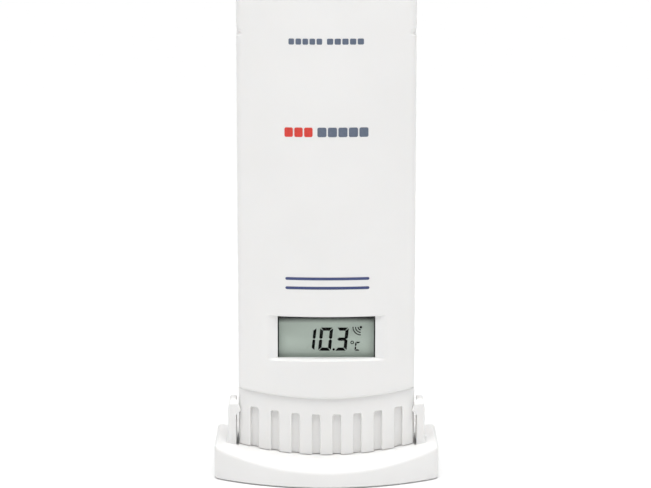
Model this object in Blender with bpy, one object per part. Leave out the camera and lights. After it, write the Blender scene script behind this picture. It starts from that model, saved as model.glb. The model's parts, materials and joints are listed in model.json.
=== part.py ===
"""Wireless outdoor thermometer sensor standing in its clip-on holder.

Row frame: +Z up, the display faces -Y, and the origin is the middle of the holder's underside.
Sizes are named in millimetres and turned into metres as each mesh is made.
"""

import math

import bpy
import bmesh
from mathutils import Matrix, Vector

MM = 0.001

# ---------------------------------------------------------------- driving sizes
CASE_WIDTH = 38.2
CASE_DEPTH = 21.2
CASE_HEIGHT = 128.3
FRONT_RADIUS = 54.0  # the front is bowed about a vertical axis
END_RADIUS = 104.0  # both ends of the case are arched about the depth axis
WALL = 1.6
FIT = 0.3  # the gap kept between touching solids
JOINT_GAP = 0.3  # the parting line between the front pieces and the rear shell

STAND_WIDTH = 48.0
STAND_DEPTH = 34.6
STAND_FRONT_RADIUS = 40.0
STAND_SHOULDER_Y = 10.3  # the full width ends here
STAND_BACK_HALF = 20.5
STAND_EDGE_HEIGHT = 3.7  # top of the front edge, in the middle
SEAT_HEIGHT = 4.5
REAR_RIM_RISE = 1.0
STAND_SKIN = 1.9

# ---------------------------------------------------------------- case layout
CASE_MID_Y = 2.3
CASE_BOTTOM = SEAT_HEIGHT + 0.35
CASE_TOP = CASE_BOTTOM + CASE_HEIGHT
FRONT_Y = CASE_MID_Y - CASE_DEPTH / 2
BACK_Y = CASE_MID_Y + CASE_DEPTH / 2
BACK_INNER_Y = BACK_Y - WALL
HALF_WIDTH = CASE_WIDTH / 2
COVER_HALF = HALF_WIDTH - 0.2
COVER_INNER_HALF = COVER_HALF - 1.5
SHELL_INNER_HALF = HALF_WIDTH - WALL
PART_Y = 0.7  # rear edge of the front cover and of the vent skirt
SHELL_FRONT_Y = PART_Y + JOINT_GAP
COVER_CORNER = 1.2
SHELL_CORNER = 2.5
TOP_CORNER = 3.0

# ---------------------------------------------------------------- front cover
LIP_HEIGHT = CASE_BOTTOM + 12.1
RECESS_HALF = 12.05
RECESS_END_DEPTH = 0.3
RECESS_Y = FRONT_Y + FRONT_RADIUS - math.sqrt(FRONT_RADIUS**2 - RECESS_HALF**2) + RECESS_END_DEPTH
APERTURE_HALF = 10.4
DISPLAY_BOTTOM = CASE_BOTTOM + 20.9
DISPLAY_TOP = DISPLAY_BOTTOM + 9.15
WINDOW_SEAT_Y = RECESS_Y + 0.7

# ---------------------------------------------------------------- vent skirt
SKIRT_STEP = 0.8  # the skirt lies this far behind the front cover's surface
SKIRT_WALL = 2.2
SKIRT_HALF = COVER_HALF - 0.1
SKIRT_SIDE_WALL = 2.6
TONGUE_RISE = 2.2
GROOVES = 8
GROOVE_PITCH = 4.42
GROOVE_WIDTH = 1.8
GROOVE_DEPTH = 1.0
GROOVE_TOP = CASE_BOTTOM + 8.6
VENT_SLOTS = 6
VENT_PITCH = 4.4
VENT_WIDTH = 1.8

# ---------------------------------------------------------------- notches for the holder
NOTCH_RISE = 9.05  # above the case's bottom
NOTCH_SPACING = 81.0
NOTCH_HEIGHT = 2.0
NOTCH_DEPTH = 0.7

# ---------------------------------------------------------------- holder arms
ARM_INNER = COVER_HALF + 0.5
ARM_THICK = 1.75
ARM_FRONT_Y = -5.4
ARM_DEPTH = 5.6
ARM_TOP = SEAT_HEIGHT + 11.7
ARM_CHAMFER = 1.2
NUB_HEIGHT = CASE_BOTTOM + NOTCH_RISE
NUB_TIP = SKIRT_HALF - 0.35
NUB_BACK_Y = FRONT_Y + SKIRT_STEP + FRONT_RADIUS - math.sqrt(FRONT_RADIUS**2 - NUB_TIP**2) - FIT

# ---------------------------------------------------------------- holder screws
HOLDER_SCREW_X = 11.0
HOLDER_HOLE_RADIUS = 2.1
HOLDER_HEAD_RADIUS = 3.9
HOLDER_BOSS_RADIUS = 4.6

# ---------------------------------------------------------------- battery bay and door
CELL_RADIUS = 7.25
CELL_LENGTH = 50.5
CELL_NUB_LENGTH = 1.4
CELL_NUB_RADIUS = 2.75
CELL_X = 7.6
CELL_Y = 3.45
BAY_WALL = 1.4
BAY_BOTTOM = CASE_BOTTOM + 69.15
CONTACT_THICK = 0.5
SPRING_LENGTH = 2.1
SPRING_WIRE = 0.33
BAY_TOP = BAY_BOTTOM + 2 * (FIT + CONTACT_THICK) + SPRING_LENGTH + 2 * FIT + CELL_LENGTH
TRAY_HALF = COVER_INNER_HALF - 0.35
TRAY_FLOOR_Y = CELL_Y - CELL_RADIUS - FIT - 0.9
TRAY_DROP = TRAY_FLOOR_Y - FIT - (FRONT_Y + WALL)
TRAY_FLOOR_HALF = math.sqrt(TRAY_DROP * (2 * (FRONT_RADIUS - WALL) - TRAY_DROP))
TRAY_WALL = 0.9
DOOR_HALF = 16.0
DOOR_BOTTOM = CASE_BOTTOM + 56.15
DOOR_TONGUE_HALF = SHELL_INNER_HALF - 0.4
DOOR_TONGUE_THICK = 1.0
DOOR_TONGUE_Y = BACK_INNER_Y - FIT - DOOR_TONGUE_THICK
SHELF_BACK_Y = DOOR_TONGUE_Y - 0.4
SHELF_THICK = 1.3
DOOR_THUMB_GROOVES = 3

# ---------------------------------------------------------------- electronics
WINDOW_THICK = 0.8
LCD_THICK = 1.5
LCD_HALF = 13.0
LCD_MARGIN = 2.8  # glass beyond the aperture, top and bottom
BOARD_THICK = 1.6
BOARD_HALF = 16.0
BOARD_NECK_HALF = 7.5
BOARD_BOTTOM = CASE_BOTTOM + 15.65
BOARD_NECK = CASE_BOTTOM + 54.65
BOARD_TOP = CASE_BOTTOM + 65.65
ZEBRA_DEPTH = 2.0
LCD_FRONT_Y = WINDOW_SEAT_Y + FIT + WINDOW_THICK + FIT
LCD_BACK_Y = LCD_FRONT_Y + LCD_THICK
BOARD_FRONT_Y = LCD_BACK_Y + FIT + ZEBRA_DEPTH + FIT
BOARD_BACK_Y = BOARD_FRONT_Y + BOARD_THICK
BUTTON_Z = CASE_BOTTOM + 61.15
BUTTON_TRAVEL = 0.8

# ---------------------------------------------------------------- case and board screws
UPPER_SCREW = (11.5, CASE_BOTTOM + 61.65)
LOWER_SCREW = (13.2, CASE_BOTTOM + 7.15)
CASE_SCREW_RADIUS = 1.2
CASE_HEAD_RADIUS = 2.3
CASE_HEAD_HEIGHT = 1.3
CASE_SCREW_LENGTH = 10.5
CASE_BOSS_RADIUS = 3.0
BOARD_SCREWS = ((13.2, CASE_BOTTOM + 38.65), (13.2, CASE_BOTTOM + 51.65))
BOARD_SCREW_RADIUS = 0.8
BOARD_HEAD_RADIUS = 1.7
BOARD_HEAD_HEIGHT = 0.9
BOARD_BOSS_RADIUS = 2.4

ARC_STEPS = 14

WHITE = ("white_abs", (0.87, 0.87, 0.86), 0.42, 0.0)
INK = ("lcd_grey", (0.36, 0.42, 0.37), 0.25, 0.0)
CLEAR = ("clear_acrylic", (0.9, 0.93, 0.93), 0.08, 0.0)
GREEN = ("board_green", (0.05, 0.22, 0.1), 0.4, 0.0)
BLACK = ("black_epoxy", (0.02, 0.02, 0.02), 0.45, 0.0)
RUBBER = ("zebra_rubber", (0.5, 0.12, 0.2), 0.7, 0.0)
STEEL = ("nickel_steel", (0.62, 0.6, 0.56), 0.3, 1.0)
COPPER = ("copper_wire", (0.8, 0.42, 0.22), 0.3, 1.0)
CELL = ("cell_jacket", (0.12, 0.14, 0.2), 0.35, 0.0)
RED = ("red_wire", (0.6, 0.03, 0.03), 0.5, 0.0)
GREY = ("grey_button", (0.45, 0.46, 0.47), 0.5, 0.0)


# ================================================================ building tools
def clear_scene():
    for thing in list(bpy.data.objects):
        bpy.data.objects.remove(thing)


def material(finish):
    """The Principled material of a finish: (name, colour, roughness, metallic)."""
    name, colour, roughness, metallic = finish
    made = bpy.data.materials.get(name)
    if made is None:
        made = bpy.data.materials.new(name)
        made.use_nodes = True
        shader = made.node_tree.nodes["Principled BSDF"]
        shader.inputs["Base Color"].default_value = (*colour, 1.0)
        shader.inputs["Roughness"].default_value = roughness
        shader.inputs["Metallic"].default_value = metallic
    return made


def add_object(name, mesh, finish=None):
    """Links a mesh as a part with its finish, or as a hidden cutter when no finish is given."""
    thing = bpy.data.objects.new(name, mesh)
    bpy.context.scene.collection.objects.link(thing)
    if finish is None:
        thing.hide_render = True
        thing.display_type = "WIRE"
    else:
        mesh.materials.append(material(finish))
        mesh.shade_smooth()
        mesh.set_sharp_from_angle(angle=math.radians(30))
    return thing


def finish_mesh(name, shape):
    bmesh.ops.recalc_face_normals(shape, faces=shape.faces)
    mesh = bpy.data.meshes.new(name)
    shape.to_mesh(mesh)
    shape.free()
    return mesh


PLANES = {
    "x": lambda a, b, c: Vector((c, a, b)),
    "y": lambda a, b, c: Vector((a, c, b)),
    "z": lambda a, b, c: Vector((a, b, c)),
}


def prism(name, outline, axis, low, high, finish=None):
    """An outline in the plane across an axis, extruded from low to high along it."""
    place = PLANES[axis]
    shape = bmesh.new()
    base = [shape.verts.new(place(a, b, low) * MM) for a, b in outline]
    face = shape.faces.new(base)
    grown = bmesh.ops.extrude_face_region(shape, geom=[face])
    tops = [v for v in grown["geom"] if isinstance(v, bmesh.types.BMVert)]
    bmesh.ops.translate(shape, verts=tops, vec=place(0, 0, high - low) * MM)
    return add_object(name, finish_mesh(name, shape), finish)


def block(name, x, y, z, finish=None):
    """A box from three (low, high) pairs."""
    outline = [(x[0], y[0]), (x[1], y[0]), (x[1], y[1]), (x[0], y[1])]
    return prism(name, outline, "z", z[0], z[1], finish)


def turned(name, profile, centre, axis, finish=None, steps=20):
    """A profile of (radius, height) points turned about an axis through centre."""
    turn = {"x": Matrix.Rotation(math.pi / 2, 3, "Y"), "y": Matrix.Rotation(-math.pi / 2, 3, "X"), "z": Matrix()}
    shape = bmesh.new()
    closed = [(0.0, profile[0][1]), *profile, (0.0, profile[-1][1])]
    verts = [shape.verts.new((r * MM, 0.0, h * MM)) for r, h in closed]
    edges = [shape.edges.new(pair) for pair in zip(verts, verts[1:])]
    bmesh.ops.spin(
        shape, geom=verts + edges, cent=(0, 0, 0), axis=(0, 0, 1), angle=2 * math.pi, steps=steps, use_merge=True
    )
    bmesh.ops.remove_doubles(shape, verts=shape.verts, dist=1e-7)
    bmesh.ops.transform(shape, matrix=turn[axis].to_4x4(), verts=shape.verts)
    bmesh.ops.translate(shape, verts=shape.verts, vec=Vector(centre) * MM)
    return add_object(name, finish_mesh(name, shape), finish)


def rod(name, centre, axis, radius, low, high, finish=None, steps=20):
    """A cylinder along an axis, from low to high along that axis."""
    start = [0.0 if letter == axis else value for letter, value in zip("xyz", centre)]
    return turned(name, [(radius, low), (radius, high)], start, axis, finish, steps)


def wire(name, points, radius, finish, sides=2):
    """A round wire along a polyline."""
    curve = bpy.data.curves.new(name, "CURVE")
    curve.dimensions = "3D"
    line = curve.splines.new("POLY")
    line.points.add(len(points) - 1)
    for spot, point in zip(line.points, points):
        spot.co = (*(Vector(point) * MM), 1.0)
    curve.bevel_depth = radius * MM
    curve.bevel_resolution = sides
    curve.use_fill_caps = True
    thing = bpy.data.objects.new(name, curve)
    bpy.context.scene.collection.objects.link(thing)
    curve.materials.append(material(finish))
    return thing


def boolean(thing, others, operation):
    """One Boolean step that takes all the others together."""
    group = bpy.data.collections.new(f"{thing.name}_{operation.lower()}")
    for other in others:
        group.objects.link(other)
    step = thing.modifiers.new(group.name, "BOOLEAN")
    step.operation = operation
    step.solver = "EXACT"
    step.operand_type = "COLLECTION"
    step.collection = group
    return thing


def cut(thing, *cutters):
    return boolean(thing, cutters, "DIFFERENCE")


def join(thing, *others):
    return boolean(thing, others, "UNION")


def keep_inside(thing, other):
    return boolean(thing, [other], "INTERSECT")


# ================================================================ outlines
def bow(x, radius=FRONT_RADIUS):
    """How far a bowed surface falls back at a distance from its middle."""
    return radius - math.sqrt(radius**2 - x**2)


def arch(x):
    """How far an arched end rises at a distance from its middle."""
    return bow(x, END_RADIUS)


def spread(half, steps=ARC_STEPS):
    return [half * (2 * i / steps - 1) for i in range(steps + 1)]


def rounded(corner, before, after, radius, steps=5):
    """The arc that rounds a corner of an outline between two neighbours."""
    corner, before, after = Vector(corner), Vector(before), Vector(after)
    to_before = (before - corner).normalized()
    to_after = (after - corner).normalized()
    half_angle = to_before.angle(to_after) / 2
    reach = radius / math.tan(half_angle)
    middle = corner + (to_before + to_after).normalized() * radius / math.sin(half_angle)
    start = corner + to_before * reach - middle
    end = corner + to_after * reach - middle
    sweep = start.angle_signed(end)
    return [tuple(middle + Matrix.Rotation(-sweep * i / steps, 2) @ start) for i in range(steps + 1)]


def front_outline(step, half, back_y, corner, radius=FRONT_RADIUS, front_y=FRONT_Y):
    """Plan of a front piece: a bowed front set back by step, rounded corners and straight sides."""
    face = [(x, front_y + step + bow(x, radius)) for x in spread(half - 1.6 * corner)]
    edge_y = front_y + step + bow(half, radius)
    right = rounded((half, edge_y), face[-1], (half, back_y), corner)
    left = [(-x, y) for x, y in reversed(right)]
    return [(-half, back_y), *left, *face, *right, (half, back_y)]


def end_line(half, height, rise=1):
    """Points of an arched end line from left to right; rise is 1 at the bottom and -1 at the top."""
    return [(x, height + rise * arch(x)) for x in spread(half)]


def case_elevation(half, bottom, top, corner):
    """Front view of the case between two arched ends, with the top corners rounded."""
    side = top - arch(half)
    upper = [(x, top - arch(x)) for x in spread(half - 2 * corner)]
    right = rounded((half, side), (half, bottom), upper[-1], corner)
    left = [(-x, z) for x, z in reversed(right)]
    return [*end_line(half, bottom), *right, *reversed(upper), *left]


def shell_body(name, plan, elevation, finish=None):
    """What an outline seen from above and one seen from the front have in common."""
    zs = [z for _, z in elevation]
    ys = [y for _, y in plan]
    body = prism(name, plan, "z", min(zs) - 1, max(zs) + 1, finish)
    return keep_inside(body, prism(name + "_view", elevation, "y", min(ys) - 1, max(ys) + 1))


# ================================================================ holder
def stand_top(x, y, drop=0.0):
    """Height of the holder's top: arched across, falling to the front and with a rim behind the case."""
    front = -STAND_DEPTH / 2
    seat_y = FRONT_Y + SKIRT_STEP
    rim_y = BACK_Y + 0.4
    if y < seat_y:
        share = (y - front) / (seat_y - front)
        height = STAND_EDGE_HEIGHT + (SEAT_HEIGHT - STAND_EDGE_HEIGHT) * share
    else:
        height = SEAT_HEIGHT + REAR_RIM_RISE * min(1.0, max(0.0, (y - rim_y) / 0.8))
    return height + arch(x) - drop


def stand_field(name, drop, bottom):
    """A solid below the holder's top surface, wider than the holder."""
    rim_y = BACK_Y + 0.4
    xs = spread(STAND_WIDTH / 2 + 2, 16)
    ys = [-STAND_DEPTH / 2 - 2, -STAND_DEPTH / 2, FRONT_Y + SKIRT_STEP, rim_y, rim_y + 0.8, STAND_DEPTH / 2 + 2]
    shape = bmesh.new()
    top = [[shape.verts.new(Vector((x, y, stand_top(x, y, drop))) * MM) for x in xs] for y in ys]
    low = [[shape.verts.new(Vector((x, y, bottom)) * MM) for x in xs] for y in ys]
    for i in range(len(ys) - 1):
        for j in range(len(xs) - 1):
            shape.faces.new((top[i][j], top[i][j + 1], top[i + 1][j + 1], top[i + 1][j]))
            shape.faces.new((low[i][j], low[i + 1][j], low[i + 1][j + 1], low[i][j + 1]))
    sides = ((0, None), (-1, None), (None, 0), (None, -1))
    for row, column in sides:
        upper = top[row] if row is not None else [r[column] for r in top]
        lower = low[row] if row is not None else [r[column] for r in low]
        for a, b, c, d in zip(upper, upper[1:], lower[1:], lower):
            shape.faces.new((a, b, c, d))
    return add_object(name, finish_mesh(name, shape))


def stand_plan(inset):
    """Plan of the holder: bowed front, straight sides, then a narrower back behind the case."""
    half = STAND_WIDTH / 2 - inset
    back = STAND_DEPTH / 2 - inset
    front = front_outline(inset, half, back, 1.2, STAND_FRONT_RADIUS, -STAND_DEPTH / 2)
    shoulder, step = STAND_SHOULDER_Y - inset, STAND_BACK_HALF - inset
    right = [*rounded((half, shoulder), front[-2], (step, shoulder), 1.2), (step, shoulder)]
    right += rounded((step, back), (step, shoulder), (-step, back), 2.0)
    left = [(-x, y) for x, y in reversed(right)]
    return [*front[1:-1], *right, *left]


def arm(name, side):
    """One springy arm, for side +1 or -1, with the hook that keeps the case from tipping forward."""
    outer = ARM_INNER + ARM_THICK
    root = SEAT_HEIGHT + arch(ARM_INNER) - 0.9
    profile = [
        (ARM_INNER, root),
        (outer + 1.2, root),
        (outer + 1.2, SEAT_HEIGHT + arch(outer)),
        (outer + 0.35, SEAT_HEIGHT + arch(outer) + 0.5),
        (outer, SEAT_HEIGHT + arch(outer) + 1.5),
        (outer, ARM_TOP - 1.9),
        (outer - 0.4, ARM_TOP - 0.25),
        (outer - 0.65, ARM_TOP),
        (ARM_INNER, ARM_TOP),
    ]
    hook = [
        (ARM_INNER + 0.3, ARM_TOP),
        (ARM_INNER - 0.15, ARM_TOP),
        (NUB_TIP, NUB_HEIGHT + 0.15),
        (NUB_TIP, NUB_HEIGHT - 0.15),
        (ARM_INNER, NUB_HEIGHT - 1.1),
        (ARM_INNER + 0.3, NUB_HEIGHT - 1.1),
    ]
    back_y = ARM_FRONT_Y + ARM_DEPTH
    silhouette = [
        (ARM_FRONT_Y, root),
        (back_y, root),
        (back_y, ARM_TOP - 1.0),
        (back_y - 1.0, ARM_TOP),
        (ARM_FRONT_Y + ARM_CHAMFER, ARM_TOP),
        (ARM_FRONT_Y, ARM_TOP - ARM_CHAMFER),
    ]
    body = prism(name, [(side * x, z) for x, z in profile], "y", ARM_FRONT_Y - 1, back_y + 1)
    join(body, prism(name + "_hook", [(side * x, z) for x, z in hook], "y", ARM_FRONT_Y - 1, NUB_BACK_Y))
    return keep_inside(body, prism(name + "_view", silhouette, "x", -30, 30))


def build_stand():
    """The holder: a thin arched shell, open below, with ribs, two wall-screw bosses and two arms."""
    stand = prism("stand", stand_plan(0.0), "z", 0.0, 20.0, WHITE)
    keep_inside(stand, stand_field("stand_top_field", 0.0, -2.0))
    hollow = prism("stand_hollow", stand_plan(STAND_SKIN), "z", -1.0, 20.0)
    keep_inside(hollow, stand_field("stand_hollow_field", STAND_SKIN, -2.0))
    screw_y = CASE_MID_Y
    kept = [block("stand_cross_rib", (-25, 25), (-6.6, -5.4), (0.4, 12))]
    kept += [block(f"stand_rib_{x:.0f}", (x - 0.6, x + 0.6), (-20, 20), (0.4, 12)) for x in (-16.5, 0.0, 16.5)]
    for x in (-HOLDER_SCREW_X, HOLDER_SCREW_X):
        kept.append(rod(f"stand_boss_{x:.0f}", (x, screw_y, 0), "z", HOLDER_BOSS_RADIUS, -3, 12))
    cut(hollow, *kept)
    openings = [hollow]
    for x in (-HOLDER_SCREW_X, HOLDER_SCREW_X):
        top = SEAT_HEIGHT + arch(x)
        countersink = [
            (HOLDER_HOLE_RADIUS, -1.0),
            (HOLDER_HOLE_RADIUS, top - 2.2),
            (HOLDER_HEAD_RADIUS, top - 0.4),
            (HOLDER_HEAD_RADIUS, top + 3.0),
        ]
        openings.append(turned(f"stand_hole_{x:.0f}", countersink, (x, screw_y, 0), "z"))
    thumb = turned("stand_thumb_mark", [(0.01, -1.0), (0.7, -0.71), (1.0, 0.0), (0.7, 0.71), (0.01, 1.0)], (0, 0, 0), "z")
    mark_y = (FRONT_Y + SKIRT_STEP - STAND_DEPTH / 2) / 2 + 0.4
    thumb.scale = (2.9, 1.85, 0.5)
    thumb.location = Vector((0, mark_y, stand_top(0, mark_y) + 0.22)) * MM
    cut(stand, thumb, *openings)
    return join(stand, arm("stand_arm_left", -1), arm("stand_arm_right", 1))


# ================================================================ case shells
def screw_boss(name, x, z, radius, low, high):
    return rod(name, (x, 0, z), "y", radius, low, high)


def both_sides(x):
    return ((-x, "left"), (x, "right"))


def notch(name, side, z, surface, front_y, back_y):
    """The cutter of a V-shaped notch across a side wall."""
    outline = [
        (side * (surface + 1.0), z - NOTCH_HEIGHT / 2 - 1.0),
        (side * (surface - NOTCH_DEPTH), z - 0.2),
        (side * (surface - NOTCH_DEPTH), z + 0.2),
        (side * (surface + 1.0), z + NOTCH_HEIGHT / 2 + 1.0),
    ]
    return prism(name, outline, "y", front_y, back_y)


def build_front_cover():
    """The bowed front with its display recess, closed at the top and open to the rear and below."""
    plan = front_outline(0.0, COVER_HALF, PART_Y, COVER_CORNER)
    cover = shell_body("front_cover", plan, case_elevation(COVER_HALF, LIP_HEIGHT, CASE_TOP, TOP_CORNER), WHITE)
    inner_plan = front_outline(WALL, COVER_INNER_HALF, PART_Y + 2, 0.8, FRONT_RADIUS - WALL)
    inner_view = case_elevation(COVER_INNER_HALF, CASE_BOTTOM - 4, CASE_TOP - WALL, TOP_CORNER - 1)
    hollow = shell_body("cover_hollow", inner_plan, inner_view)
    seat_half = RECESS_HALF + 0.3
    seat_z = (DISPLAY_BOTTOM - 2.0, DISPLAY_TOP + 2.0)
    kept = [block("cover_window_pad", (-seat_half, seat_half), (FRONT_Y - 5, WINDOW_SEAT_Y), seat_z)]
    for x, z in (*BOARD_SCREWS, UPPER_SCREW):
        end, radius = (
            (BOARD_FRONT_Y - FIT, BOARD_BOSS_RADIUS) if (x, z) in BOARD_SCREWS else (PART_Y, CASE_BOSS_RADIUS - 0.2)
        )
        for at, side in both_sides(x):
            kept.append(screw_boss(f"cover_boss_{side}_{z:.0f}", at, z, radius, FRONT_Y - 5, end))
    cut(hollow, *kept)
    join(hollow, block("cover_window_seat", (-seat_half, seat_half), (WINDOW_SEAT_Y, PART_Y), seat_z))
    opening = [
        (-RECESS_HALF - 0.2, FRONT_Y - 5),
        (RECESS_HALF + 0.2, FRONT_Y - 5),
        (RECESS_HALF + 0.2, RECESS_Y),
        (APERTURE_HALF, RECESS_Y),
        (APERTURE_HALF, WINDOW_SEAT_Y + 2),
        (-APERTURE_HALF, WINDOW_SEAT_Y + 2),
        (-APERTURE_HALF, RECESS_Y),
        (-RECESS_HALF - 0.2, RECESS_Y),
    ]
    openings = [hollow, prism("cover_display_opening", opening, "z", DISPLAY_BOTTOM, DISPLAY_TOP)]
    for x, z in (*BOARD_SCREWS, UPPER_SCREW):
        radius = BOARD_SCREW_RADIUS if (x, z) in BOARD_SCREWS else CASE_SCREW_RADIUS
        for at, side in both_sides(x):
            depth = FRONT_Y + bow(x) + 2.2
            openings.append(screw_boss(f"cover_hole_{side}_{z:.0f}", at, z, radius + FIT, depth, PART_Y + 2))
    upper_notch = NUB_HEIGHT + NOTCH_SPACING
    for sign, side in ((-1, "left"), (1, "right")):
        openings.append(notch(f"cover_notch_{side}", sign, upper_notch, COVER_HALF, FRONT_Y - 2, PART_Y + 2))
    return cut(cover, *openings)


def build_vent_skirt():
    """The fluted lower front around the sensor chamber, with slots in its floor."""
    body = shell_body(
        "vent_skirt",
        front_outline(SKIRT_STEP, SKIRT_HALF, PART_Y, 0.5),
        [*end_line(SKIRT_HALF, CASE_BOTTOM), *reversed(end_line(SKIRT_HALF, LIP_HEIGHT - FIT))],
        WHITE,
    )
    tongue_half = COVER_INNER_HALF - 0.35
    tongue = shell_body(
        "skirt_tongue",
        front_outline(WALL + 0.35, tongue_half, PART_Y - FIT, 0.6, FRONT_RADIUS - WALL),
        [*end_line(tongue_half, CASE_BOTTOM + 4), *reversed(end_line(tongue_half, LIP_HEIGHT + TONGUE_RISE))],
    )
    join(body, tongue)
    inner_half = SKIRT_HALF - SKIRT_SIDE_WALL
    chamber = shell_body(
        "skirt_chamber",
        front_outline(SKIRT_STEP + SKIRT_WALL, inner_half, PART_Y + 2, 0.6),
        [*end_line(inner_half, CASE_BOTTOM + WALL), *reversed(end_line(inner_half, LIP_HEIGHT + 6))],
    )
    x, z = LOWER_SCREW
    boss_radius = CASE_BOSS_RADIUS - 0.2
    cut(chamber, *(screw_boss(f"skirt_boss_{side}", at, z, boss_radius, FRONT_Y - 5, PART_Y) for at, side in both_sides(x)))
    openings = [chamber]
    for i in range(GROOVES):
        middle = (i - (GROOVES - 1) / 2) * GROOVE_PITCH
        low, high = middle - GROOVE_WIDTH / 2, middle + GROOVE_WIDTH / 2
        top_low, top_high = GROOVE_TOP + arch(low), GROOVE_TOP + arch(high)
        outline = [(low, 0), (high, 0)]
        outline += rounded((high, top_high), (high, 0), (low, top_low), 0.6, 3)
        outline += rounded((low, top_low), (high, top_high), (low, 0), 0.6, 3)
        floor_y = FRONT_Y + SKIRT_STEP + GROOVE_DEPTH + bow(middle)
        openings.append(prism(f"skirt_groove_{i}", outline, "y", FRONT_Y - 3, floor_y))
    for i in range(VENT_SLOTS):
        middle = (i - (VENT_SLOTS - 1) / 2) * VENT_PITCH
        slot = (middle - VENT_WIDTH / 2, middle + VENT_WIDTH / 2)
        slot_y = (FRONT_Y + SKIRT_STEP + SKIRT_WALL + 1.6, PART_Y - 1.2)
        openings.append(block(f"skirt_vent_{i}", slot, slot_y, (0, 9)))
    for at, side in both_sides(x):
        hole = CASE_SCREW_RADIUS + FIT
        openings.append(screw_boss(f"skirt_hole_{side}", at, z, hole, FRONT_Y + bow(x) + 3.4, PART_Y + 2))
    return cut(body, *openings)


def tray_outline(inner=False):
    """Plan of the battery tray, whose front follows the two cells inside the bowed front."""
    if inner:
        half, floor_half = TRAY_HALF - TRAY_WALL, TRAY_FLOOR_HALF - 0.4
        return [
            (-half, BACK_Y), (-half, -0.75), (-floor_half, TRAY_FLOOR_Y + TRAY_WALL),
            (floor_half, TRAY_FLOOR_Y + TRAY_WALL), (half, -0.75), (half, BACK_Y),
        ]
    back, reach = SHELF_BACK_Y, SHELL_INNER_HALF + 0.2
    return [
        (-reach, back), (-reach, SHELL_FRONT_Y + 0.3), (-TRAY_HALF, SHELL_FRONT_Y + 0.3),
        (-TRAY_HALF, -1.2), (-TRAY_FLOOR_HALF, TRAY_FLOOR_Y), (TRAY_FLOOR_HALF, TRAY_FLOOR_Y),
        (TRAY_HALF, -1.2), (TRAY_HALF, SHELL_FRONT_Y + 0.3), (reach, SHELL_FRONT_Y + 0.3), (reach, back),
    ]


def back_plan(half, front_y, back_y, corner):
    right = rounded((half, back_y), (half, front_y), (-half, back_y), corner)
    left = [(-x, y) for x, y in reversed(right)]
    return [(half, front_y), *right, *left, (-half, front_y)]


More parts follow.
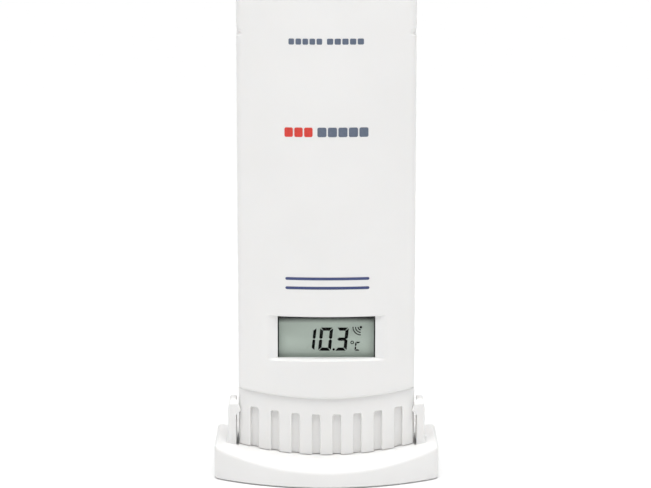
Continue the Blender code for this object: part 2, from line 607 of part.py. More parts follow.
def build_rear_shell():
    """The back of the case: side walls, back wall, battery bay, screw bosses and vents."""
    shell = shell_body(
        "rear_shell",
        back_plan(HALF_WIDTH, SHELL_FRONT_Y, BACK_Y, SHELL_CORNER),
        case_elevation(HALF_WIDTH, CASE_BOTTOM, CASE_TOP, TOP_CORNER),
        WHITE,
    )
    hollow = shell_body(
        "shell_hollow",
        back_plan(SHELL_INNER_HALF, SHELL_FRONT_Y - 2, BACK_INNER_Y, 0.4),
        case_elevation(SHELL_INNER_HALF, CASE_BOTTOM + WALL, CASE_TOP - WALL, TOP_CORNER - 1),
    )
    cut(shell, hollow)
    door_gap = DOOR_HALF + FIT
    opening_z = DOOR_BOTTOM - FIT
    cut(
        shell,
        block("shell_door_opening", (-door_gap, door_gap), (BACK_INNER_Y - 1.0, BACK_Y + 2), (opening_z, CASE_TOP + 5)),
        block(
            "shell_tongue_exit",
            (-SHELL_INNER_HALF, SHELL_INNER_HALF),
            (SHELF_BACK_Y, BACK_INNER_Y),
            (BAY_TOP, CASE_TOP + 5),
        ),
    )
    shelf_front = SHELF_BACK_Y - SHELF_THICK
    reach = SHELL_INNER_HALF + 0.2
    tray = prism("shell_tray", tray_outline(), "z", BAY_BOTTOM - BAY_WALL, BAY_TOP + BAY_WALL)
    hollows = [prism("shell_bay", tray_outline(True), "z", BAY_BOTTOM, BAY_TOP)]
    for sign, side in ((-1, "left"), (1, "right")):
        slot = (sign * CELL_X - 1.4, sign * CELL_X + 1.4)
        slot_z = (BAY_BOTTOM - 4, BAY_BOTTOM + 1)
        hollows.append(block(f"shell_tab_slot_{side}", slot, (CELL_Y - 0.9, CELL_Y + 0.9), slot_z))
    corners = block("shell_tray_corners", (-25, 25), (FRONT_Y - 5, SHELL_FRONT_Y), (CASE_TOP - 12, CASE_TOP + 5))
    top = case_elevation(COVER_INNER_HALF - 0.35, CASE_BOTTOM, CASE_TOP - WALL - 0.35, TOP_CORNER - 1)
    cut(corners, prism("shell_tray_view", top, "y", FRONT_Y - 8, PART_Y + 5))
    cut(tray, corners, *hollows)
    added = [
        tray,
        block("shell_shelf", (-reach, reach), (shelf_front, SHELF_BACK_Y), (DOOR_BOTTOM - 1, BAY_BOTTOM)),
        block("shell_ledge", (-reach, reach), (shelf_front, BACK_INNER_Y + 0.4), (DOOR_BOTTOM - 2, opening_z)),
    ]
    for (x, z), end in ((UPPER_SCREW, shelf_front + 0.3), (LOWER_SCREW, BACK_INNER_Y + 0.3)):
        for at, side in both_sides(x):
            added.append(screw_boss(f"shell_boss_{side}_{z:.0f}", at, z, CASE_BOSS_RADIUS, SHELL_FRONT_Y, end))
    join(shell, *added)
    openings = [screw_boss("shell_button_hole", 0.0, BUTTON_Z, 2.6, shelf_front - 1, SHELF_BACK_Y + 1)]
    for (x, z), seat in ((UPPER_SCREW, upper_seat()), (LOWER_SCREW, lower_seat())):
        hole, head = CASE_SCREW_RADIUS + FIT, CASE_HEAD_RADIUS + FIT
        profile = [(hole, SHELL_FRONT_Y - 2), (hole, seat - FIT), (head, seat - FIT), (head, BACK_Y + 2)]
        for at, side in both_sides(x):
            openings.append(turned(f"shell_hole_{side}_{z:.0f}", profile, (at, 0, z), "y"))
    for i in range(5):
        middle = (i - 2) * 3.2
        slot_z = (CASE_BOTTOM + 4.0, CASE_BOTTOM + 12.0)
        openings.append(block(f"shell_vent_{i}", (middle - 0.8, middle + 0.8), (BACK_INNER_Y - 1, BACK_Y + 1), slot_z))
    upper_notch = NUB_HEIGHT + NOTCH_SPACING
    for sign, side in ((-1, "left"), (1, "right")):
        openings.append(
            notch(f"shell_notch_{side}", sign, upper_notch, HALF_WIDTH, SHELL_FRONT_Y - 2, SHELL_FRONT_Y + 2.4)
        )
    return cut(shell, *openings)


def upper_seat():
    """Depth at which an upper case screw's head rests, inside the shelf."""
    return SHELF_BACK_Y - 0.1 - CASE_HEAD_HEIGHT


def lower_seat():
    """Depth at which a lower case screw's head rests, inside the back wall's boss."""
    return BACK_INNER_Y - 3.5


def build_battery_door():
    """The sliding door: a flat plate with a tongue along each side and a cap at its top."""
    tongue_back = DOOR_TONGUE_Y + DOOR_TONGUE_THICK
    web = DOOR_HALF - 1.4
    plan = [
        (-DOOR_HALF, BACK_Y), (-DOOR_HALF, tongue_back), (-DOOR_TONGUE_HALF, tongue_back),
        (-DOOR_TONGUE_HALF, DOOR_TONGUE_Y), (-web, DOOR_TONGUE_Y), (-web, BACK_INNER_Y),
        (web, BACK_INNER_Y), (web, DOOR_TONGUE_Y), (DOOR_TONGUE_HALF, DOOR_TONGUE_Y),
        (DOOR_TONGUE_HALF, tongue_back), (DOOR_HALF, tongue_back), (DOOR_HALF, BACK_Y),
    ]
    view = [
        (-DOOR_TONGUE_HALF, DOOR_BOTTOM),
        (DOOR_TONGUE_HALF, DOOR_BOTTOM),
        *reversed(end_line(DOOR_TONGUE_HALF, CASE_TOP, -1)),
    ]
    door = shell_body("battery_door", plan, view, WHITE)
    cap_plan = [
        (-DOOR_HALF, BACK_Y), (-DOOR_HALF, tongue_back), (-DOOR_TONGUE_HALF, tongue_back),
        (-DOOR_TONGUE_HALF, SHELF_BACK_Y + FIT), (DOOR_TONGUE_HALF, SHELF_BACK_Y + FIT),
        (DOOR_TONGUE_HALF, tongue_back), (DOOR_HALF, tongue_back), (DOOR_HALF, BACK_Y),
    ]
    cap_view = [
        (-DOOR_TONGUE_HALF, BAY_TOP + 1.0),
        (DOOR_TONGUE_HALF, BAY_TOP + 1.0),
        *reversed(end_line(DOOR_TONGUE_HALF, CASE_TOP, -1)),
    ]
    join(door, shell_body("door_cap", cap_plan, cap_view))
    places = [DOOR_BOTTOM + 7.0 + 2.4 * i for i in range(DOOR_THUMB_GROOVES)]
    return cut(door, *(block(f"door_thumb_{z:.0f}", (-6, 6), (BACK_Y - 0.5, BACK_Y + 1), (z, z + 1.2)) for z in places))


# ================================================================ display and board
def build_display():
    """The clear window, the liquid-crystal glass, its frame and the two contact strips."""
    half = RECESS_HALF
    window_y = WINDOW_SEAT_Y + FIT
    window_z = (DISPLAY_BOTTOM - 1.6, DISPLAY_TOP + 1.6)
    block("display_window", (-half, half), (window_y, window_y + WINDOW_THICK), window_z, CLEAR)
    low, high = DISPLAY_BOTTOM - LCD_MARGIN, DISPLAY_TOP + LCD_MARGIN + 0.4
    block("lcd_glass", (-LCD_HALF, LCD_HALF), (LCD_FRONT_Y, LCD_BACK_Y), (low, high), INK)
    strip_y = (LCD_BACK_Y + FIT, LCD_BACK_Y + FIT + ZEBRA_DEPTH)
    block("contact_strip_upper", (-12, 12), strip_y, (high - 2.0, high - 0.2), RUBBER)
    block("contact_strip_lower", (-12, 12), strip_y, (low + 0.2, low + 2.0), RUBBER)
    outer = LCD_HALF + 1.6
    frame_y = (LCD_FRONT_Y + 0.3, BOARD_FRONT_Y - FIT)
    frame = block("lcd_frame", (-outer, outer), frame_y, (low - 1.6, high + 1.6), WHITE)
    room = LCD_HALF + 0.35
    cut(frame, block("lcd_frame_room", (-room, room), (-20, 20), (low - 0.35, high + 0.35)))


def build_board():
    """The circuit board, with a neck between the upper screw bosses, and what is soldered to it."""
    outline = [
        (-BOARD_HALF, BOARD_BOTTOM), (BOARD_HALF, BOARD_BOTTOM), (BOARD_HALF, BOARD_NECK),
        (BOARD_NECK_HALF, BOARD_NECK), (BOARD_NECK_HALF, BOARD_TOP), (-BOARD_NECK_HALF, BOARD_TOP),
        (-BOARD_NECK_HALF, BOARD_NECK), (-BOARD_HALF, BOARD_NECK),
    ]
    board = prism("circuit_board", outline, "y", BOARD_FRONT_Y, BOARD_BACK_Y, GREEN)
    hole = BOARD_SCREW_RADIUS + FIT
    places = [(at, side, z) for x, z in BOARD_SCREWS for at, side in both_sides(x)]
    cut(board, *(screw_boss(f"board_hole_{side}_{z:.0f}", at, z, hole, -20, 20) for at, side, z in places))
    on_board = BOARD_BACK_Y + FIT
    chip = [(5.0, on_board), (4.6, on_board + 0.7), (3.4, on_board + 1.3), (1.6, on_board + 1.6)]
    turned("controller_chip", chip, (0, 0, BOARD_BOTTOM + 9.5), "y", BLACK)
    radio_z = (BOARD_BOTTOM + 21.0, BOARD_BOTTOM + 33.0)
    block("radio_board", (-10.6, 1.6), (on_board, on_board + 0.8), radio_z, GREEN)
    shield = (on_board + 0.8 + FIT, on_board + 0.8 + FIT + 1.8)
    block("radio_shield", (-9.4, 0.4), shield, (radio_z[0] + 1.5, radio_z[1] - 1.5), STEEL)
    crystal_z = BOARD_BOTTOM + 17.0
    rod("crystal", (0, on_board + 1.1, crystal_z), "x", 1.0, -9.0, -3.0, STEEL, 14)
    tank = [(2.5, on_board), (2.5, on_board + 5.6), (2.2, on_board + 6.0)]
    turned("buffer_capacitor", tank, (10.0, 0, BOARD_BOTTOM + 6.0), "y", BLACK)
    build_antenna(on_board, radio_z[0] - 1.0)
    build_thermistor()


def helix(centre_x, centre_y, low, high, turns, start_radius, end_radius, steps=10):
    """Points of a coil that rises about a vertical axis."""
    count = int(turns * steps)
    points = []
    for i in range(count + 1):
        share = i / count
        angle = 2 * math.pi * turns * share
        radius = start_radius + (end_radius - start_radius) * share
        points.append(
            (centre_x + radius * math.cos(angle), centre_y + radius * math.sin(angle), low + (high - low) * share)
        )
    return points


def build_antenna(on_board, low):
    """The coiled antenna beside the radio board, with a straight foot."""
    centre = (8.0, on_board + 3.6)
    coil = helix(*centre, low + 3.0, low + 15.0, 6, 2.4, 2.4)
    foot = [(coil[0][0], on_board + 0.5, low), (coil[0][0], on_board + 0.9, low + 1.2)]
    wire("antenna_coil", [*foot, *coil], 0.35, COPPER, 1)


def build_thermistor():
    """The temperature sensor bead hanging in the sensor chamber on two bare leads."""
    bead_z = CASE_BOTTOM + 6.6
    y = (BOARD_FRONT_Y + BOARD_BACK_Y) / 2
    profile = [(0.7, bead_z - 1.3), (1.25, bead_z - 0.6), (1.3, bead_z), (1.0, bead_z + 0.9), (0.6, bead_z + 1.2)]
    turned("thermistor_bead", profile, (0, y, 0), "z", BLACK, 14)
    for x, side in both_sides(0.9):
        route = [(x, y, BOARD_BOTTOM - FIT), (x, y, BOARD_BOTTOM - 3), (x * 0.6, y, bead_z + 1.2 + FIT)]
        wire(f"thermistor_lead_{side}", route, 0.25, STEEL, 1)


def build_button():
    """The transmit button in the shelf, and the switch that it presses."""
    switch_back = BOARD_BACK_Y + FIT + 3.1
    switch_top = switch_back + 1.0
    body = block("transmit_switch", (-3, 3), (BOARD_BACK_Y + FIT, switch_back), (BUTTON_Z - 3, BUTTON_Z + 3), BLACK)
    join(body, rod("switch_plunger", (0, 0, BUTTON_Z), "y", 1.6, switch_back - 0.5, switch_top))
    foot = switch_top + BUTTON_TRAVEL + 0.1
    flange = SHELF_BACK_Y - SHELF_THICK - 0.5
    profile = [
        (1.4, foot), (1.4, flange - 0.8), (3.1, flange - 0.8), (3.1, flange),
        (2.2, flange), (2.2, SHELF_BACK_Y + 0.5), (1.9, SHELF_BACK_Y + 0.8),
    ]
    turned("transmit_button", profile, (0, 0, BUTTON_Z), "y", GREY)


# ================================================================ batteries and contacts
def build_cells():
    """Two cells side by side: the left one stands nub up, the right one nub down."""
    shoulder = 0.5
    lower_end = BAY_BOTTOM + FIT + CONTACT_THICK + FIT
    left = lower_end + SPRING_LENGTH + FIT - 0.0
    for name, x, low, up in (("battery_left", -CELL_X, left, True), ("battery_right", CELL_X, lower_end, False)):
        body = CELL_LENGTH - CELL_NUB_LENGTH
        profile = [
            (CELL_RADIUS - shoulder, 0), (CELL_RADIUS, shoulder), (CELL_RADIUS, body - shoulder),
            (CELL_RADIUS - shoulder, body), (CELL_NUB_RADIUS, body), (CELL_NUB_RADIUS, CELL_LENGTH),
        ]
        if not up:
            profile = [(r, CELL_LENGTH - h) for r, h in reversed(profile)]
        turned(name, [(r, low + h) for r, h in profile], (x, CELL_Y, 0), "z", CELL, 28)


def build_contacts():
    """End plates, the bridge that joins the two cells, and a spring at each flat end."""
    low = BAY_BOTTOM + FIT
    half = 5.5
    for name, x in (("negative_terminal", -CELL_X), ("positive_terminal", CELL_X)):
        plate_z = (low, low + CONTACT_THICK)
        plate = block(name, (x - half, x + half), (CELL_Y - half, CELL_Y + half), plate_z, STEEL)
        tab = block(name + "_tab", (x - 1.0, x + 1.0), (CELL_Y - 0.3, CELL_Y + 0.3), (BAY_BOTTOM - 2.6, low + 0.3))
        join(plate, tab)
    high = BAY_TOP - FIT
    reach = CELL_X + half
    bridge_z = (high - CONTACT_THICK, high)
    block("bridge_contact", (-reach, reach), (CELL_Y - half, CELL_Y + half), bridge_z, STEEL)
    inset = SPRING_WIRE
    start = low + CONTACT_THICK + FIT + inset
    end = start + SPRING_LENGTH - 2 * inset
    wire("spring_left", helix(-CELL_X, CELL_Y, start, end, 2, 4.2, 2.4), SPRING_WIRE, STEEL, 1)
    end = high - CONTACT_THICK - FIT - inset
    start = end - SPRING_LENGTH + 2 * inset
    wire("spring_right", helix(CELL_X, CELL_Y, end, start, 2, 4.2, 2.4), SPRING_WIRE, STEEL, 1)


def build_leads():
    """The two insulated leads from the battery terminals to the board's neck."""
    start_z = BAY_BOTTOM - 2.6 - FIT - 0.5
    end_y = BOARD_BACK_Y + FIT + 0.5
    for name, sign, finish in (("black_lead", -1, BLACK), ("red_lead", 1, RED)):
        x = sign * CELL_X
        route = [
            (x, CELL_Y, start_z), (x - sign * 0.3, CELL_Y + 0.2, start_z - 0.8), (x - sign * 1.0, CELL_Y + 0.3, start_z - 1.8),
            (x - sign * 1.9, CELL_Y, start_z - 2.6), (x - sign * 2.3, end_y + 0.6, start_z - 3.3), (x - sign * 2.4, end_y, start_z - 4.2),
        ]
        wire(name, route, 0.5, finish, 2)


# ================================================================ screws
def screw(name, x, z, seat, length, radius, head_radius, head_height):
    """A pan-head screw whose head rests at seat and points to the rear, with a pointed end."""
    profile = [
        (0.3 * radius, seat - length), (radius, seat - length + 1.2), (radius, seat),
        (head_radius, seat), (head_radius, seat + 0.6 * head_height), (0.7 * head_radius, seat + head_height),
    ]
    return turned(name, profile, (x, 0, z), "y", STEEL, 16)


def build_screws():
    for label, (x, z), seat in (("upper", UPPER_SCREW, upper_seat()), ("lower", LOWER_SCREW, lower_seat())):
        for at, side in both_sides(x):
            size = (CASE_SCREW_RADIUS, CASE_HEAD_RADIUS, CASE_HEAD_HEIGHT)
            screw(f"case_screw_{label}_{side}", at, z, seat, CASE_SCREW_LENGTH, *size)
    for label, (x, z) in zip(("lower", "upper"), BOARD_SCREWS):
        for at, side in both_sides(x):
            size = (BOARD_SCREW_RADIUS, BOARD_HEAD_RADIUS, BOARD_HEAD_HEIGHT)
            screw(f"board_screw_{label}_{side}", at, z, BOARD_BACK_Y + FIT, 4.6, *size)


def main():
    clear_scene()
    build_stand()
    build_front_cover()
    build_vent_skirt()
    build_rear_shell()
    build_battery_door()
    build_display()
    build_board()
    build_button()
    build_cells()
    build_contacts()
    build_leads()
    build_screws()


main()
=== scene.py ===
"""Looks of a wireless outdoor thermometer sensor in its clip-on holder.

Every new piece is a surface worked out with numpy: a sheet of outer points and a matching sheet of
inner points, joined round their open edges into one closed solid. Lengths are in metres, +Z is up,
and the display faces -Y.
"""

import json
import math

import bmesh
import bpy
import numpy as np
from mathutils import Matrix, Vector


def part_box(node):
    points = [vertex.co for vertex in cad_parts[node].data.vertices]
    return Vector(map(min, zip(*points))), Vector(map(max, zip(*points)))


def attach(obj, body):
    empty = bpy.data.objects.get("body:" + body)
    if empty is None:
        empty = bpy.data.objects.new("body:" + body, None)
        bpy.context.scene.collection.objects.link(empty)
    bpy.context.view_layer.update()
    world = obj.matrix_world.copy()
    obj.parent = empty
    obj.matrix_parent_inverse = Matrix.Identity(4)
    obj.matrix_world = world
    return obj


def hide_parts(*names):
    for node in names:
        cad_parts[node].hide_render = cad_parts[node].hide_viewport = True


bl_info = {
    "name": "Outdoor Thermometer Sensor",
    "version": (1, 0, 0),
    "blender": (4, 5, 0),
    "location": "View3D > Sidebar > Sensor",
    "description": "Builds the surfaces, display, finishes and studio of a wireless outdoor thermometer sensor",
    "category": "Add Mesh",
}

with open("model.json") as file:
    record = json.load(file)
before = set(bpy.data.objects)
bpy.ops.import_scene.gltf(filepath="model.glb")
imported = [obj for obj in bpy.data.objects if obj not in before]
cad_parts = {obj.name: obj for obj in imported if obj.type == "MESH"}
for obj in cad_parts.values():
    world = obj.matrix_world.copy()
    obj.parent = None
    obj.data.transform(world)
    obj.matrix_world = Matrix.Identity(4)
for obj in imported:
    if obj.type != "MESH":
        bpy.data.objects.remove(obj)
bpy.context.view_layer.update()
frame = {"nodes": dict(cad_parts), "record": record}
MM = 0.001

COVER_LOW, COVER_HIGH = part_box("front_cover")
SKIRT_LOW, SKIRT_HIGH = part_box("vent_skirt")
SHELL_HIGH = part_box("rear_shell")[1]
DOOR_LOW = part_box("battery_door")[0]
STAND_LOW, STAND_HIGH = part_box("stand")
WINDOW_LOW, WINDOW_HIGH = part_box("display_window")
GLASS_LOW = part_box("lcd_glass")[0]
BAY_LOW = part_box("negative_terminal")[1][2] - 1.1 * MM
BAY_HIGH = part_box("bridge_contact")[1][2] + 0.3 * MM

FRONT_Y = COVER_LOW[1]
PART_Y = COVER_HIGH[1]
BACK_Y = SHELL_HIGH[1]
SHELL_FRONT_Y = PART_Y + 0.3 * MM
CASE_LOW = SKIRT_LOW[2]
CASE_HIGH = SHELL_HIGH[2]
SEAT_HEIGHT = CASE_LOW - 0.35 * MM
STAND_FRONT_EDGE = 3.7 * MM
STAND_BACK_HALF = 20.5 * MM
SHOULDER_Y = 10.3 * MM
DISPLAY_LOW = WINDOW_LOW[2] + 1.6 * MM
DISPLAY_HIGH = WINDOW_HIGH[2] - 1.6 * MM
WINDOW_SEAT_Y = WINDOW_LOW[1] - 0.3 * MM
RECESS_Y = WINDOW_SEAT_Y - 0.7 * MM
# Heights on the display glass over which its painted shade darkens towards the top edge, standing for the recess
# lip's shadow.
PAINTED_SHADE_LOW, PAINTED_SHADE_HIGH = 32.75 * MM, 34.1 * MM
RECESS_HALF = 11.9 * MM
RECESS_FADE = 0.6 * MM
SILL = 0.48 * MM
GROOVE_TOP = CASE_LOW + 8.6 * MM
NUB_HEIGHT = CASE_LOW + 9.05 * MM
HOOK_BACK_Y = -4.56 * MM
NOTCH_HEIGHT = NUB_HEIGHT + 81.0 * MM


# ================================================================ user settings
def length(name, description, default, **more):
    return bpy.props.FloatProperty(name=name, description=description, default=default, unit="LENGTH", **more)


def colour(name, description, default):
    return bpy.props.FloatVectorProperty(
        name=name, description=description, default=default, subtype="COLOR", size=3, min=0.0, max=1.0
    )


class CaseSettings(bpy.types.PropertyGroup):
    bow_radius: length("Bow radius", "Radius of the bowed front, seen from above", 54 * MM)
    end_radius: length("End radius", "Radius of the arched ends, seen from the front", 104 * MM)
    wall: length("Wall", "Thickness of the front and back walls", 1.6 * MM)
    front_round: length("Front edge", "Rounding between the front and the sides", 1.1 * MM)
    back_round: length("Back edge", "Rounding between the back and the sides", 2.0 * MM)
    top_corner: length("Top corner", "Radius of the two top corners", 3.0 * MM)
    notch_depth: length("Notch depth", "Depth of the notches that take the holder's nubs", 0.7 * MM)
    aperture_half: length("Opening half width", "Half the width of the display opening", 10.4 * MM)
    skirt_step: length("Skirt step", "How far the skirt lies behind the front", 0.8 * MM)
    groove_depth: length("Groove depth", "Depth of the skirt's flutes", 1.0 * MM)
    groove_width: length("Groove width", "Width of one flute", 1.7 * MM)
    groove_pitch: length("Groove pitch", "Distance between flutes", 4.42 * MM)


class HolderSettings(bpy.types.PropertyGroup):
    front_radius: length("Front radius", "Radius of the bowed front, seen from above", 40 * MM)
    edge_round: length("Edge", "Rounding of the top edge", 0.8 * MM)
    nose_round: length("Nose", "Rounding of the top edge along the front", 1.1 * MM)
    skin: length("Skin", "Thickness of the top", 1.9 * MM)
    arm_thickness: length("Arm thickness", "Thickness of a springy arm", 1.75 * MM)
    arm_depth: length("Arm depth", "Depth of a springy arm", 5.6 * MM)
    arm_chamfer: length("Arm chamfer", "Slope at the top of an arm's front", 1.2 * MM)


class FinishSettings(bpy.types.PropertyGroup):
    plastic: colour("Plastic", "Colour of the moulded white parts", (0.88, 0.875, 0.865))
    display: colour("Display", "Colour of the display's background", (0.65, 0.755, 0.67))
    ink_cool: colour("Slate print", "Colour of the slate printed marks", (0.12, 0.15, 0.21))
    ink_warm: colour("Red print", "Colour of the red printed mark", (0.7, 0.05, 0.035))
    ink_deep: colour("Navy print", "Colour of the navy printed mark", (0.05, 0.07, 0.19))


# ================================================================ shapes as arrays
def bow(x, radius):
    """How far a circular arc of this radius falls back at a distance x from its middle."""
    return radius - np.sqrt(radius**2 - np.asarray(x) ** 2)


def quarter_round(distance, radius):
    """Depth of a rounded edge: a quarter circle that ends where the distance from the edge is the radius."""
    near = np.clip(radius - distance, 0.0, radius)
    return radius - np.sqrt(radius**2 - near**2)


def corner_drop(x, half, radius):
    """How far a rounded corner has fallen at x, for a side at half."""
    return quarter_round(half - np.abs(x), radius)


def inside_corner(side, end, radius):
    """Distance inside two straight edges whose corner is rounded; negative outside them."""
    rounded = radius - np.hypot(radius - side, radius - end)
    return np.where((side < radius) & (end < radius), rounded, np.minimum(side, end))


def places(stops, step):
    """Numbers through every stop, evenly spaced between neighbours and never more than step apart."""
    runs = [
        np.linspace(a, b, max(1, math.ceil((b - a) / step - 1e-6)), endpoint=False) for a, b in zip(stops, stops[1:])
    ]
    return np.append(np.concatenate(runs), stops[-1])


def quarter_slope(over, blend):
    """A 45 degree slope that starts softly: nothing below zero, the distance itself beyond the blend."""
    over = np.maximum(over, 0)
    return np.where(over < blend, over**2 / (2 * blend), over - blend / 2)


def edge_insets(radius, count=6):
    """Distances from an edge, from radius to 0, that divide its rounding evenly by angle."""
    return radius * (1 - np.sin(np.linspace(0, math.pi / 2, count)))


def mirrored(right):
    """Numbers on the right of the middle, with their mirror images on the left."""
    return np.concatenate([-right[:0:-1], right])


def ordered(stops):
    """Stops in rising order, each of them once."""
    return np.unique(np.round(stops, 7))


def side_to_side(stops, step, half, radius, count):
    """Places from one side to the other: through the stops, then closer together over the rounded edge."""
    return mirrored(np.append(places(stops, step), half - edge_insets(radius, count)[1:]))


def rounded_start(line, radius, count):
    """Rows that begin at a line and divide its rounding evenly by angle."""
    return [(line, 0)] + [(line + inset, 1) for inset in edge_insets(radius, count)[::-1][1:]]


def rounded_end(line, radius, count):
    """Rows that divide a line's rounding evenly by angle and end at the line."""
    return [(line - inset, 1) for inset in edge_insets(radius, count)[1:]]


def layers(curves):
    """Rows of a grid: each (curve, count) is reached from the curve before it in count even steps."""
    rows = [curves[0][0][None]]
    for (before, _), (after, count) in zip(curves, curves[1:]):
        share = np.arange(1, count + 1)[:, None] / count
        rows.append(before + (after - before) * share)
    return np.concatenate(rows)


def points(x, y, z):
    """A sheet of points from the arrays of their coordinates."""
    return np.stack(np.broadcast_arrays(x, y, z), axis=-1).astype(float)


def ring_warp(u, v, centre, reach, rings):
    """Bends square rings of a grid about a centre into circles. rings are (share of reach, radius) pairs."""
    du, dv = (u - centre[0]) / reach, (v - centre[1]) / reach
    share = np.maximum(np.abs(du), np.abs(dv))
    angle = np.arctan2(dv, du)
    square = share * reach / np.maximum(np.maximum(np.abs(np.cos(angle)), np.abs(np.sin(angle))), 1e-9)
    shares = [0.0, *(s for s, _ in rings)]
    radii = [0.0, *(r for _, r in rings)]
    circle = np.interp(share, shares, radii)
    blend = np.clip((share - shares[-1]) / (1 - shares[-1]), 0, 1)
    radius = np.where(share <= shares[-1], circle, (1 - blend) * radii[-1] + blend * square)
    inside = share < 1
    return (
        np.where(inside, centre[0] + radius * np.cos(angle), u),
        np.where(inside, centre[1] + radius * np.sin(angle), v),
        share,
    )


def cells(values):
    """The value at the middle of each cell of a grid."""
    return (values[:-1, :-1] + values[1:, :-1] + values[:-1, 1:] + values[1:, 1:]) / 4


def wall(outer, inner, axis, levels, chamfer):
    """A straight wall that carries an edge line along an axis through the levels, chamfered at the last one."""
    inward = inner - outer
    inward[:, axis] = 0
    inward /= np.maximum(np.linalg.norm(inward, axis=1, keepdims=True), 1e-9)
    rows_out, rows_in = [outer], [inner]
    for level, inset in [(level, 0.0) for level in levels] + [(levels[-1], chamfer)]:
        row_out, row_in = outer + inward * inset, inner.copy()
        row_out[:, axis] = row_in[:, axis] = level
        rows_out.append(row_out)
        rows_in.append(row_in)
    if len(levels) > 1 or chamfer:
        step = math.copysign(chamfer, levels[-1] - float(np.mean(outer[:, axis])))
        rows_out[-2][:, axis] = levels[-1] - step
        rows_in[-2][:, axis] = levels[-1] - step
    return np.stack(rows_out), np.stack(rows_in), None


def bar(low, high):
    """A plain bar between two corners, as the pair of sheets on its two X faces."""
    y, z = np.meshgrid([low[1], high[1]], [low[2], high[2]])
    return points(high[0], y, z), points(low[0], y, z), None


def tube(centre, outer, inner, low, high, sides=48):
    """A straight tube: two circles carried up along Z."""
    angle = np.linspace(0, 2 * math.pi, sides + 1)
    along = np.array([low, high])[:, None]
    circles = [
        points(centre[0] + radius * np.cos(angle), centre[1] + radius * np.sin(angle), along)
        for radius in (outer, inner)
    ]
    return *circles, None


def outline(sheet):
    """The four edges of a sheet as one line, from its first point round and back to it."""
    return np.concatenate([sheet[0], sheet[1:, -1], sheet[-1, -2::-1], sheet[-2::-1, 0]])


def grid_quads(rows, columns, start=0):
    """The corner numbers of every cell of a grid of points, counted from start."""
    index = start + np.arange(rows * columns).reshape(rows, columns)
    return np.stack([index[:-1, :-1], index[:-1, 1:], index[1:, 1:], index[1:, :-1]], axis=-1)


def finish_piece(shape, mesh, finish, body, stands_for, crease):
    """Writes the edited shape back to its mesh and makes it a piece that rides on a body."""
    bmesh.ops.recalc_face_normals(shape, faces=shape.faces)
    shape.to_mesh(mesh)
    shape.free()
    mesh.shade_smooth()
    mesh.set_sharp_from_angle(angle=math.radians(crease))
    mesh.materials.append(finish)
    piece = bpy.data.objects.new(mesh.name, mesh)
    bpy.context.scene.collection.objects.link(piece)
    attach(piece, body)
    if stands_for:
        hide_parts(*stands_for)


def solid(name, sheets, finish, body, stands_for=(), crease=32):
    """Joins (outer points, inner points, kept cells) sheets into closed solids and makes them a piece.

    Points that meet are made one, cells that aren't kept are left out, the inner side copies the outer
    side's cells, and each open edge gets a strip that joins the two sides.
    """
    outer = np.concatenate([s[0].reshape(-1, 3) for s in sheets])
    inner = np.concatenate([s[1].reshape(-1, 3) for s in sheets])
    quads, start = [], 0
    for out, _, keep in sheets:
        rows, columns = out.shape[:2]
        quad = grid_quads(rows, columns, start)
        quads.append(quad.reshape(-1, 4) if keep is None else quad[keep])
        start += rows * columns
    both = np.round(np.concatenate([outer, inner], axis=1) / (1e-4 * MM))
    _, first, back = np.unique(both, axis=0, return_index=True, return_inverse=True)
    outer, inner = outer[first], inner[first]
    quads = back.reshape(-1)[np.concatenate(quads)]
    edges = np.stack([quads, np.roll(quads, -1, axis=1)], axis=-1).reshape(-1, 2)
    edges = edges[edges[:, 0] != edges[:, 1]]
    _, where, uses = np.unique(np.sort(edges, axis=1), axis=0, return_index=True, return_counts=True)
    rim = edges[where[uses == 1]]
    count = len(outer)
    strip = np.stack([rim[:, 1], rim[:, 0], rim[:, 0] + count, rim[:, 1] + count], axis=-1)
    faces = np.concatenate([quads, quads[:, ::-1] + count, strip])
    faces = [list(dict.fromkeys(face)) for face in faces.tolist()]
    mesh = bpy.data.meshes.new(name)
    mesh.from_pydata(np.concatenate([outer, inner]).tolist(), [], [face for face in faces if len(face) > 2])
    shape = bmesh.new()
    shape.from_mesh(mesh)
    bmesh.ops.remove_doubles(shape, verts=shape.verts, dist=5e-4 * MM)
    bmesh.ops.dissolve_degenerate(shape, edges=shape.edges, dist=1e-4 * MM)
    loose = [v for v in shape.verts if not v.link_faces]
    bmesh.ops.delete(shape, geom=loose, context="VERTS")
    finish_piece(shape, mesh, finish, body, stands_for, crease)


def lathe(name, profile, centre, axis, finish, body, stands_for=(), sides=64, crease=32):
    """A turned piece: a profile of (radius, place along the axis) points carried round an axis, z or y."""
    angle = np.linspace(0, 2 * math.pi, sides + 1)
    radius, along = (np.array(values)[:, None] for values in zip(*profile))
    first, second = centre[0] + radius * np.cos(angle), centre[1] + radius * np.sin(angle)
    turned = points(first, second, along) if axis == "z" else points(first, along, second)
    mesh = bpy.data.meshes.new(name)
    quads = grid_quads(*turned.shape[:2]).reshape(-1, 4)
    mesh.from_pydata(turned.reshape(-1, 3).tolist(), [], quads.tolist())
    shape = bmesh.new()
    shape.from_mesh(mesh)
    bmesh.ops.remove_doubles(shape, verts=shape.verts, dist=1e-4 * MM)
    bmesh.ops.holes_fill(shape, edges=[e for e in shape.edges if e.is_boundary])
    bmesh.ops.dissolve_degenerate(shape, edges=shape.edges, dist=1e-4 * MM)
    finish_piece(shape, mesh, finish, body, stands_for, crease)


# ================================================================ finishes
def new_finish(name):
    """A new material, with its node tree and its Principled shader."""
    made = bpy.data.materials.new(name)
    made.use_nodes = True
    return made, made.node_tree, made.node_tree.nodes["Principled BSDF"]


def own_place(tree):
    """The object's own coordinates, from one node that a material's textures share."""
    node = tree.nodes.get("Texture Coordinate") or tree.nodes.new("ShaderNodeTexCoord")
    return node.outputs["Object"]


def own_height(tree):
    """The Z of the object's own coordinates."""
    split = tree.nodes.new("ShaderNodeSeparateXYZ")
    tree.links.new(own_place(tree), split.inputs["Vector"])
    return split.outputs["Z"]


